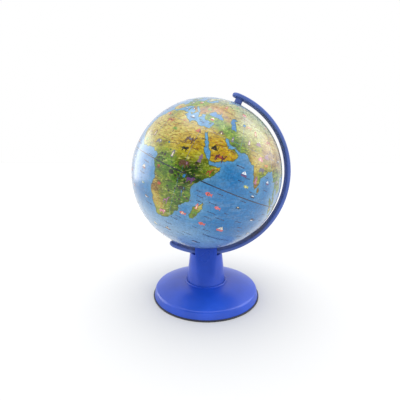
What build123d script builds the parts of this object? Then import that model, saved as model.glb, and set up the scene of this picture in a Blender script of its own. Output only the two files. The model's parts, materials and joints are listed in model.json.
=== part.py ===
from build123d import *

import math
import os

# Desktop globe on a stand.  Millimetres, +Z up.
# The origin is the centre of the foot pad's underside, on the table.
# The arm lies in the XZ plane and the north pole leans towards +X.

# ---- driving dimensions ----
CUTTER = 60.0  # longer than any part that it cuts
OVERSHOOT = 1.0  # how far a cutter reaches past the face that it opens
OVERLAP = 0.2  # how far joined shapes reach into each other
CLEARANCE = 0.2
HEAD_CLEARANCE = 0.4
PILOT_EXTRA = 0.5
SMALL_ROUND = 0.3
EDGE_ROUND = 0.5

GLOBE_R = 80.0
SHELL_WALL = 1.4
GLOBE_CENTRE_Z = 138.5
AXIS_TILT = 23.5

ARM_INNER_R = 86.1
ARM_OUTER_R = 90.2
ARM_WIDTH = 13.5
ARM_EDGE_ROUND = 1.6
NORTH_OVERHANG = 8.6
SOUTH_OVERHANG = 7.2

PIN_R = 2.2
PIN_HEAD_R = 4.0
PIN_HEAD_THICK = 1.0
PIN_TIP_R_FROM_CENTRE = 73.5
BOSS_R = 3.95
WASHER_R = 4.6
WASHER_THICK = 0.6
RUNNING_GAP = 0.05
FREE_GAP = 0.3

BUSH_BARREL_R = 4.4
BUSH_FLANGE_R = 5.6
BUSH_FLANGE_TOP = 80.7
BUSH_LIP_R = 5.2
BUSH_LIP_THICK = 1.5
BUSH_END = 72.0

JOINT_RING_HEIGHT = 12.0
JOINT_RING_INNER_R = 76.8
GLUE_GAP = 0.05

PAD_R = 60.9
PAD_THICK = 1.6
PAD_ROUND = 0.4

BASE_FOOT_R = 59.8
BASE_CORNER_R = 58.2
BASE_CORNER_Z = 9.0
BASE_CORNER_ROUND = 3.0
BASE_WALL = 2.2
DOME_BULGE = 1.8
DOME_END_R = 24.3
DOME_END_Z = 16.2
SEAT_Z = 15.8
SEAT_R = 22.5
COLLAR_TOP_Z = 17.5
COLLAR_ROUND = 0.8

COLUMN_FOOT_R = 22.3
COLUMN_FOOT_CORNER = 22.28
COLUMN_TOP_X = 17.15
COLUMN_TOP_Y = 9.0
COLUMN_TOP_CORNER = 7.5
COLUMN_LOFT_TOP_Z = 58.0
CHEEK_HALF_X = 12.2
CHEEK_TOP_R = 82.0
COLUMN_CAVITY_FOOT_R = 19.6
COLUMN_CAVITY_TOP_R = 13.0
BULKHEAD_Z = 30.0
BULKHEAD_THICK = 3.0

TENON_X = 15.0
TENON_Y = 8.0
TENON_ROUND = 1.2
TENON_CLEARANCE = 0.15
TENON_FOOT_Z = BULKHEAD_Z + BULKHEAD_THICK + CLEARANCE

ARM_SCREW_R = 1.75
ARM_SCREW_HEAD_R = 3.2
ARM_SCREW_HEAD_THICK = 2.2
ARM_SCREW_TIP_Z = 46.0
ARM_WASHER_R = 5.0
ARM_WASHER_THICK = 0.8

SCREW_R = 1.45
SCREW_HEAD_R = 2.8
SCREW_HEAD_THICK = 1.6
SLOT_WIDTH = 0.8
SLOT_DEPTH = 0.7
BOSS_WALL = 1.6
EDGE_SHARE = 0.4  # a screw's edges are broken by this share of the head's height or shank's radius

COLUMN_SCREW_RING = 14.2
COLUMN_SCREW_ANGLE = 90
COLUMN_SCREW_TIP_Z = 25.0
COLUMN_BOSS_TOP_Z = 26.5

BALLAST_INNER_R = 20.0
BALLAST_OUTER_R = 47.0
BALLAST_Z = 5.4
BALLAST_THICK = 4.4
BALLAST_SCREW_RING = 36.0
BALLAST_SCREW_ANGLE = 30
BALLAST_SCREW_TIP_Z = 12.0

COVER_R = 56.7
COVER_THICK = 2.6
COVER_SCREW_RING = 52.0
COVER_SCREW_ANGLE = 90
COVER_HEAD_GAP = 0.1
COVER_SCREW_TIP_Z = 9.5
COVER_BOSS_R = 3.1

SCREW_COUNT = 3


# ---- helpers ----
def in_row(shape):
    """Take a shape from the globe's own frame, polar axis +Z, to the row frame."""
    return Pos(0, 0, GLOBE_CENTRE_Z) * Rot(0, AXIS_TILT, 0) * shape


def disc(radius, low, high):
    """An upright cylinder between two heights."""
    return Pos(0, 0, (low + high) / 2) * Cylinder(radius, high - low)


def disc_at(ring, angle, radius, low, high):
    """An upright cylinder on a ring of centres, at an angle in degrees."""
    x = ring * math.cos(math.radians(angle))
    y = ring * math.sin(math.radians(angle))
    return Pos(x, y, 0) * disc(radius, low, high)


def around(first_angle):
    """The equally spaced angles of one ring of screws."""
    return [first_angle + 360 / SCREW_COUNT * k for k in range(SCREW_COUNT)]


def along_y(radius, width):
    """A cylinder about the Y line through the globe's centre, in the globe's frame."""
    return Rot(90, 0, 0) * Cylinder(radius, width)


def screw(x, y, head_low, head_thick, head_r, shank_r, tip):
    """A slotted pan head screw driven from below, its head at the bottom."""
    head = disc(head_r, head_low, head_low + head_thick)
    head = fillet(head.edges().sort_by(Axis.Z)[0], head_thick * EDGE_SHARE)
    shank = disc(shank_r, head_low + head_thick - OVERLAP, tip)
    shank = chamfer(shank.edges().sort_by(Axis.Z)[-1], shank_r * EDGE_SHARE)
    slot = Pos(0, 0, head_low + SLOT_DEPTH / 2) * Box(CUTTER, SLOT_WIDTH, SLOT_DEPTH)
    return Pos(x, y, 0) * ((head + shank) - slot)


def screw_ring(ring, first_angle, head_low, tip):
    """A group of identical screws on a ring."""
    made = []
    for angle in around(first_angle):
        x = ring * math.cos(math.radians(angle))
        y = ring * math.sin(math.radians(angle))
        made.append(screw(x, y, head_low, SCREW_HEAD_THICK, SCREW_HEAD_R, SCREW_R, tip))
    return Compound(children=made)


# ---- the turning ball ----
def hemisphere(sign):
    """Half of the ball's thin shell, with the hole for its pole bush."""
    half_space = Pos(0, 0, sign * GLOBE_R) * Box(4 * GLOBE_R, 4 * GLOBE_R, 2 * GLOBE_R)
    shell = (Sphere(GLOBE_R) - Sphere(GLOBE_R - SHELL_WALL)) & half_space
    hole = Pos(0, 0, sign * GLOBE_R) * Cylinder(BUSH_BARREL_R, CUTTER)
    return in_row(shell - hole)


def joint_ring():
    """The band inside the equator that the two halves are glued to."""
    band = Sphere(GLOBE_R - SHELL_WALL - GLUE_GAP) & Cylinder(GLOBE_R, JOINT_RING_HEIGHT)
    return in_row(band - Cylinder(JOINT_RING_INNER_R, JOINT_RING_HEIGHT * 2))


def pole_bush():
    """A snap-in bush for the north pole: outer flange, barrel and inner lip."""
    flange = disc(BUSH_FLANGE_R, GLOBE_R - OVERSHOOT, BUSH_FLANGE_TOP) - Sphere(GLOBE_R)
    flange = fillet(flange.edges().sort_by(Axis.Z)[-1], SMALL_ROUND)
    barrel = disc(BUSH_BARREL_R, BUSH_END, BUSH_FLANGE_TOP - SMALL_ROUND)
    lip_top = GLOBE_R - SHELL_WALL - FREE_GAP
    lip = disc(BUSH_LIP_R, lip_top - BUSH_LIP_THICK, lip_top)
    bore = disc(PIN_R + RUNNING_GAP, BUSH_END - OVERSHOOT, BUSH_FLANGE_TOP + OVERSHOOT)
    return flange + barrel + lip - bore


# ---- the arm and its pivots ----
def arm_end(angle):
    """The rounded end of the arm, centred at an angle from the north pole."""
    ring = along_y(ARM_OUTER_R, ARM_WIDTH) - along_y(ARM_INNER_R, ARM_WIDTH)
    post = Pos(0, 0, ARM_INNER_R) * Cylinder(ARM_WIDTH / 2, CUTTER)
    return ring & (Rot(0, angle, 0) * post)


def arm_blade():
    """The arc of the arm with rounded ends and softened edges, in the globe's frame."""
    mid_r = (ARM_INNER_R + ARM_OUTER_R) / 2
    first = -math.degrees((NORTH_OVERHANG - ARM_WIDTH / 2) / mid_r)
    last = 180 + math.degrees((SOUTH_OVERHANG - ARM_WIDTH / 2) / mid_r)
    section = Plane.YZ * Pos(0, mid_r) * Rectangle(ARM_WIDTH, ARM_OUTER_R - ARM_INNER_R)
    band = Rot(0, first, 0) * revolve(section, Axis.Y, last - first)
    blade = band + arm_end(first) + arm_end(last)
    long_edges = [e for e in blade.edges() if e.length > ARM_WIDTH]
    return fillet(long_edges, ARM_EDGE_ROUND)


def pivot_boss():
    """The peg that stands in from the arm at the north pole."""
    return disc(BOSS_R, BUSH_FLANGE_TOP + RUNNING_GAP + WASHER_THICK, ARM_INNER_R + OVERLAP)


def pivot_bore():
    """The stepped hole through the arm at the north pole."""
    head_seat = ARM_OUTER_R - PIN_HEAD_THICK - FREE_GAP
    through = disc(PIN_R, GLOBE_R, ARM_OUTER_R + OVERSHOOT)
    return through + disc(PIN_HEAD_R + CLEARANCE, head_seat, ARM_OUTER_R + OVERSHOOT)


def meridian_arm():
    """The arm: blade, pegs at both poles, and the tenon that the column holds."""
    south = Rot(0, 180, 0)
    blade = arm_blade() + pivot_boss() + south * pivot_boss()
    blade = blade - pivot_bore() - south * pivot_bore()
    top = GLOBE_CENTRE_Z - (ARM_INNER_R + ARM_OUTER_R) / 2
    tenon = Pos(0, 0, (TENON_FOOT_Z + top) / 2)
    tenon = tenon * Box(TENON_X, TENON_Y, top - TENON_FOOT_Z)
    tenon = fillet(tenon.edges().filter_by(Axis.Z), TENON_ROUND)
    pilot = disc(ARM_SCREW_R, TENON_FOOT_Z - OVERSHOOT, ARM_SCREW_TIP_Z + PILOT_EXTRA)
    return in_row(blade) + tenon - pilot


def pivot_pin():
    """The north pivot pin, its head sunk in the arm's outer face."""
    head_seat = ARM_OUTER_R - PIN_HEAD_THICK - FREE_GAP
    head = disc(PIN_HEAD_R, head_seat, head_seat + PIN_HEAD_THICK)
    head = fillet(head.edges().sort_by(Axis.Z)[-1], EDGE_ROUND)
    shaft = disc(PIN_R, PIN_TIP_R_FROM_CENTRE, head_seat + OVERLAP)
    shaft = chamfer(shaft.edges().sort_by(Axis.Z)[0], EDGE_ROUND)
    return head + shaft


def spacer_washer():
    """The thin washer between the peg and the bush at the north pole."""
    low = BUSH_FLANGE_TOP + RUNNING_GAP
    hole = disc(PIN_R, low - OVERSHOOT, low + WASHER_THICK + OVERSHOOT)
    return disc(WASHER_R, low, low + WASHER_THICK) - hole


def south_of(shape):
    """The same piece at the south pole, in the row frame."""
    return in_row(Rot(0, 180, 0) * shape)


# ---- the column ----
def column_section(half_x, half_y, corner, z):
    """One rounded section of the column."""
    return Pos(0, 0, z) * RectangleRounded(2 * half_x, 2 * half_y, corner)


def column():
    """Round at the foot, flattened towards the arm, with cheeks that clasp the arm."""
    foot = column_section(COLUMN_FOOT_R, COLUMN_FOOT_R, COLUMN_FOOT_CORNER, SEAT_Z)
    top = column_section(COLUMN_TOP_X, COLUMN_TOP_Y, COLUMN_TOP_CORNER, COLUMN_LOFT_TOP_Z)
    body = loft([foot, top])

    centre = Pos(0, 0, GLOBE_CENTRE_Z)
    under_arm = centre * along_y(ARM_OUTER_R, CUTTER)
    keep_cheeks = centre * Box(2 * CHEEK_HALF_X, CUTTER, 4 * GLOBE_R)
    body = body - (under_arm - keep_cheeks)
    body = body - centre * along_y(CHEEK_TOP_R, CUTTER)
    body = body - centre * along_y(ARM_OUTER_R, ARM_WIDTH)

    cavity_height = BULKHEAD_Z - SEAT_Z
    cavity = Cone(COLUMN_CAVITY_FOOT_R, COLUMN_CAVITY_TOP_R, cavity_height)
    body = body - Pos(0, 0, SEAT_Z + cavity_height / 2) * cavity
    for angle in around(COLUMN_SCREW_ANGLE):
        boss = disc_at(COLUMN_SCREW_RING, angle, SCREW_R + BOSS_WALL, SEAT_Z, COLUMN_BOSS_TOP_Z)
        body = body + boss
    pilot_top = COLUMN_SCREW_TIP_Z + PILOT_EXTRA
    for angle in around(COLUMN_SCREW_ANGLE):
        body = body - disc_at(COLUMN_SCREW_RING, angle, SCREW_R, SEAT_Z - OVERSHOOT, pilot_top)

    pocket_top = GLOBE_CENTRE_Z - ARM_INNER_R
    pocket = Pos(0, 0, (BULKHEAD_Z + BULKHEAD_THICK + pocket_top) / 2)
    pocket = pocket * Box(
        TENON_X + 2 * TENON_CLEARANCE,
        TENON_Y + 2 * TENON_CLEARANCE,
        pocket_top - BULKHEAD_Z - BULKHEAD_THICK,
    )
    screw_hole = disc(ARM_SCREW_R + CLEARANCE, BULKHEAD_Z - OVERSHOOT, TENON_FOOT_Z)
    return body - pocket - screw_hole


def arm_screw():
    """The screw that pulls the arm's tenon down into the column."""
    head_low = BULKHEAD_Z - ARM_WASHER_THICK - ARM_SCREW_HEAD_THICK
    return screw(
        0, 0, head_low, ARM_SCREW_HEAD_THICK, ARM_SCREW_HEAD_R, ARM_SCREW_R, ARM_SCREW_TIP_Z
    )


def arm_screw_washer():
    """The washer under the arm screw's head."""
    low = BULKHEAD_Z - ARM_WASHER_THICK
    hole = disc(ARM_SCREW_R + CLEARANCE, low - OVERSHOOT, BULKHEAD_Z + OVERSHOOT)
    return disc(ARM_WASHER_R, low, BULKHEAD_Z) - hole


# ---- the base ----
def base_outline(inset):
    """The base's outside, or a surface inside it at an inset, as a turned solid."""
    foot = (BASE_FOOT_R - inset, PAD_THICK)
    corner = (BASE_CORNER_R - inset, BASE_CORNER_Z - inset)
    neck = (DOME_END_R, DOME_END_Z - inset)
    middle = ((corner[0] + neck[0]) / 2, (corner[1] + neck[1]) / 2 + DOME_BULGE)
    face = make_face(
        Wire(
            [
                Line((0, PAD_THICK), foot),
                Line(foot, corner),
                ThreePointArc(corner, middle, neck),
                Line(neck, (0, neck[1])),
                Line((0, neck[1]), (0, PAD_THICK)),
            ]
        )
    )
    sharp = face.vertices().sort_by_distance((*corner, 0))[0]
    face = fillet(sharp, BASE_CORNER_ROUND - inset)
    return revolve(Plane.XZ * face, Axis.Z)


def base_shell():
    """The domed base with its collar, its seat for the column, and its screw bosses."""
    collar = disc(DOME_END_R, DOME_END_Z - OVERSHOOT, COLLAR_TOP_Z)
    collar = fillet(collar.edges().sort_by(Axis.Z)[-1], COLLAR_ROUND)
    outside = base_outline(0) + collar - disc(SEAT_R, SEAT_Z, COLLAR_TOP_Z + OVERSHOOT)
    shell = outside - base_outline(BASE_WALL)
    inside_wall = base_outline(BASE_WALL / 2)
    ballast_top = BALLAST_Z + BALLAST_THICK
    for angle in around(BALLAST_SCREW_ANGLE):
        boss = disc_at(BALLAST_SCREW_RING, angle, SCREW_R + BOSS_WALL, ballast_top, CUTTER)
        shell = shell + (boss & inside_wall)
    cover_top = PAD_THICK + COVER_THICK
    for angle in around(COVER_SCREW_ANGLE):
        boss = disc_at(COVER_SCREW_RING, angle, COVER_BOSS_R, cover_top, CUTTER)
        shell = shell + (boss & inside_wall)
    for angle in around(BALLAST_SCREW_ANGLE):
        pilot_top = BALLAST_SCREW_TIP_Z + SMALL_ROUND
        shell = shell - disc_at(BALLAST_SCREW_RING, angle, SCREW_R, 0, pilot_top)
    for angle in around(COVER_SCREW_ANGLE):
        pilot_top = COVER_SCREW_TIP_Z + SMALL_ROUND
        shell = shell - disc_at(COVER_SCREW_RING, angle, SCREW_R, 0, pilot_top)
    for angle in around(COLUMN_SCREW_ANGLE):
        shell = shell - disc_at(COLUMN_SCREW_RING, angle, SCREW_R + CLEARANCE, 0, CUTTER)
    return shell


def ballast_disc():
    """The flat steel weight inside the base, with clearance for its screws."""
    top = BALLAST_Z + BALLAST_THICK
    weight = disc(BALLAST_OUTER_R, BALLAST_Z, top) - disc(BALLAST_INNER_R, 0, CUTTER)
    seat = BALLAST_Z + SCREW_HEAD_THICK
    for angle in around(BALLAST_SCREW_ANGLE):
        weight = weight - disc_at(BALLAST_SCREW_RING, angle, SCREW_R + CLEARANCE, 0, CUTTER)
        weight = weight - disc_at(BALLAST_SCREW_RING, angle, SCREW_HEAD_R + HEAD_CLEARANCE, 0, seat)
    return weight


def bottom_cover():
    """The plate that closes the base, with counterbores for its screws."""
    top = PAD_THICK + COVER_THICK
    plate = disc(COVER_R, PAD_THICK, top)
    seat = PAD_THICK + COVER_HEAD_GAP + SCREW_HEAD_THICK
    for angle in around(COVER_SCREW_ANGLE):
        plate = plate - disc_at(COVER_SCREW_RING, angle, SCREW_R + CLEARANCE, 0, CUTTER)
        plate = plate - disc_at(COVER_SCREW_RING, angle, SCREW_HEAD_R + HEAD_CLEARANCE, 0, seat)
    return plate


def base_pad():
    """The soft disc under the base."""
    pad = disc(PAD_R, 0, PAD_THICK)
    return fillet(pad.edges(), PAD_ROUND)


# ---- write one file for each piece ----
def main():
    column_head = DOME_END_Z - BASE_WALL - SCREW_HEAD_THICK
    column_screws = screw_ring(
        COLUMN_SCREW_RING, COLUMN_SCREW_ANGLE, column_head, COLUMN_SCREW_TIP_Z
    )
    ballast_screws = screw_ring(
        BALLAST_SCREW_RING, BALLAST_SCREW_ANGLE, BALLAST_Z, BALLAST_SCREW_TIP_Z
    )
    cover_head = PAD_THICK + COVER_HEAD_GAP
    cover_screws = screw_ring(COVER_SCREW_RING, COVER_SCREW_ANGLE, cover_head, COVER_SCREW_TIP_Z)
    pieces = {
        "north_hemisphere": hemisphere(1),
        "south_hemisphere": hemisphere(-1),
        "equator_joint_ring": joint_ring(),
        "north_pole_bush": in_row(pole_bush()),
        "south_pole_bush": south_of(pole_bush()),
        "meridian_arm": meridian_arm(),
        "north_pivot_pin": in_row(pivot_pin()),
        "south_pivot_pin": south_of(pivot_pin()),
        "north_spacer_washer": in_row(spacer_washer()),
        "south_spacer_washer": south_of(spacer_washer()),
        "column": column(),
        "arm_screw": arm_screw(),
        "arm_screw_washer": arm_screw_washer(),
        "column_screws": column_screws,
        "base_shell": base_shell(),
        "ballast_disc": ballast_disc(),
        "ballast_screws": ballast_screws,
        "bottom_cover": bottom_cover(),
        "cover_screws": cover_screws,
        "base_pad": base_pad(),
    }
    os.makedirs("parts", exist_ok=True)
    for node, shape in pieces.items():
        export_step(shape, f"parts/{node}.step")


main()
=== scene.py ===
import json
import math
import random

import bpy
import numpy as np
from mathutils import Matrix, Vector
from mathutils.geometry import delaunay_2d_cdt
from mathutils.kdtree import KDTree


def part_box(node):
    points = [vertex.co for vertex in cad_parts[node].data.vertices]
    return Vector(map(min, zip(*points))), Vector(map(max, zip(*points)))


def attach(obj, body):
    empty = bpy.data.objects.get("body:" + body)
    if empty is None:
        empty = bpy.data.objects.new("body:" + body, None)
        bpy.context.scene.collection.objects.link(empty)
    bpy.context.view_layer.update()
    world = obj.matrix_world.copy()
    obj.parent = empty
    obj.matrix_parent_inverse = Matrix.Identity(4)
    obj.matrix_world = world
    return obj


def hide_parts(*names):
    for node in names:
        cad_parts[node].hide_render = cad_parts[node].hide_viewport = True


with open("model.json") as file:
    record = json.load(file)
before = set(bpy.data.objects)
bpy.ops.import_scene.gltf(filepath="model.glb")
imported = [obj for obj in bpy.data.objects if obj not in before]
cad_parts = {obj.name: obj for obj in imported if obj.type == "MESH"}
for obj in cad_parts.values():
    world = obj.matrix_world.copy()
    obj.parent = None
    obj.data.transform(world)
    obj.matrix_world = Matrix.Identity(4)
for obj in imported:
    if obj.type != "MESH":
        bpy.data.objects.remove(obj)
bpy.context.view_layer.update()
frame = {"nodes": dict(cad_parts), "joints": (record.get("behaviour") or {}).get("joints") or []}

# ---- the ball's place, from the frame ----
MM = 0.001
SPIN = frame["joints"][0]
CENTRE = Vector(SPIN["pos_m"])
POLE = Vector(SPIN["axis"]).normalized()
FRONT = Vector((0, -1, 0))
SIDE = POLE.cross(FRONT)
BALL_R = (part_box("north_hemisphere")[1].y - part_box("north_hemisphere")[0].y) / 2
SHELL_WALL = 1.4 * MM
POLE_HOLE_R = 4.4 * MM

# The longitude that faces the front at rest, and how far the print leans with latitude.
FRONT_LON = 46.0
PRINT_LEAN = -0.04
TOP_LAT = 90 - math.degrees(POLE_HOLE_R / BALL_R)


def direction_of(lon, lat):
    """The direction of a place on the printed map from the ball's centre, at rest."""
    turn = math.radians(lon + PRINT_LEAN * lat - FRONT_LON)
    rise = math.radians(lat)
    level = FRONT * math.cos(turn) + SIDE * math.sin(turn)
    return (level * math.cos(rise) + POLE * math.sin(rise)).normalized()


# ---- camera, floor, light ----
LENS_MM = 25.26
CAMERA_FROM_BALL = Vector((0.0033, -0.3086, 0.0261))
CAMERA_DOWN_DEG = 10.01
CAMERA_LEFT_DEG = 1.91
FLOOR_HALF = 3.0
CARD_HALF = 0.75
CARD_LOW = 0.01
CARD_HIGH = 1.1
CARD_Y = -0.7
SOFTBOX_SIZE = 1.0
SOFTBOX_AIM = Vector((0, 0, 0.12))
SOFTBOXES = [
    ("left_softbox", Vector((-1.1, 0.35, 0.3)), 7.5),
    ("right_softbox", Vector((1.0, 0.1, 0.75)), 7),
]
SUN_POWER = 1.4
SUN_SPREAD_DEG = 50


def add_object(name, data):
    made = bpy.data.objects.new(name, data)
    bpy.context.scene.collection.objects.link(made)
    return made


def make_camera():
    data = bpy.data.cameras.new("camera")
    data.sensor_width = 36
    data.lens = LENS_MM
    data.clip_start = 0.01
    camera = add_object("camera", data)
    camera.location = CENTRE + CAMERA_FROM_BALL
    camera.rotation_euler = (math.radians(90 - CAMERA_DOWN_DEG), 0, math.radians(CAMERA_LEFT_DEG))
    bpy.context.scene.camera = camera


def set_inputs(tree, node, values):
    """Inputs of a node, each set to a plain value or linked to another node's output."""
    for key, value in values.items():
        if isinstance(value, bpy.types.NodeSocket):
            tree.links.new(value, node.inputs[key])
        else:
            node.inputs[key].default_value = value


def new_material(name, values):
    """A material with values or links on its shader's own inputs, and its node tree."""
    material = bpy.data.materials.new(name)
    material.use_nodes = True
    tree = material.node_tree
    set_inputs(tree, tree.nodes["Principled BSDF"], values)
    return material, tree


def link_mesh(name, points, faces, smooth=True):
    mesh = bpy.data.meshes.new(name)
    mesh.from_pydata(points, [], faces)
    mesh.update()
    mesh.polygons.foreach_set("use_smooth", [smooth] * len(mesh.polygons))
    return add_object(name, mesh)


def make_floor():
    half = FLOOR_HALF
    corners = [(-half, -half, 0), (half, -half, 0), (half, half, 0), (-half, half, 0)]
    floor = link_mesh("floor", corners, [(0, 1, 2, 3)])
    paint = {
        "Base Color": (0.72, 0.72, 0.72, 1),
        "Roughness": 0.9,
        "Specular IOR Level": 0.1,
        "Emission Color": (1, 0.99, 0.96, 1),
        "Emission Strength": 0.03,
    }
    floor.data.materials.append(new_material("floor_white", paint)[0])


def make_dark_card():
    """A dark card behind the camera, which gives the gloss something dark to reflect."""
    corners = [
        (-CARD_HALF, CARD_Y, CARD_LOW),
        (CARD_HALF, CARD_Y, CARD_LOW),
        (CARD_HALF, CARD_Y, CARD_HIGH),
        (-CARD_HALF, CARD_Y, CARD_HIGH),
    ]
    card = link_mesh("dark_card", corners, [(0, 1, 2, 3)])
    paint = {"Base Color": (0.02, 0.02, 0.025, 1), "Roughness": 1.0}
    card.data.materials.append(new_material("card_dark", paint)[0])
    card.visible_camera = False
    card.visible_diffuse = False
    card.visible_shadow = False


def make_lights():
    """A white room, a soft sun from above, and two softboxes that only show as a sheen."""
    world = bpy.data.worlds.new("white_room")
    world.use_nodes = True
    background = world.node_tree.nodes["Background"]
    set_inputs(world.node_tree, background, {"Color": (1, 1, 1, 1), "Strength": 1.0})
    bpy.context.scene.world = world
    bpy.context.scene.view_settings.view_transform = "Standard"
    for name, place, power in SOFTBOXES:
        data = bpy.data.lights.new(name, "AREA")
        data.size = SOFTBOX_SIZE
        data.energy = power
        light = add_object(name, data)
        light.location = place
        light.rotation_euler = (SOFTBOX_AIM - place).to_track_quat("-Z", "Y").to_euler()
        light.visible_diffuse = False
    data = bpy.data.lights.new("overhead", "SUN")
    data.energy = SUN_POWER
    data.angle = math.radians(SUN_SPREAD_DEG)
    add_object("overhead", data)


make_camera()
make_floor()
make_dark_card()
make_lights()

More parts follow.
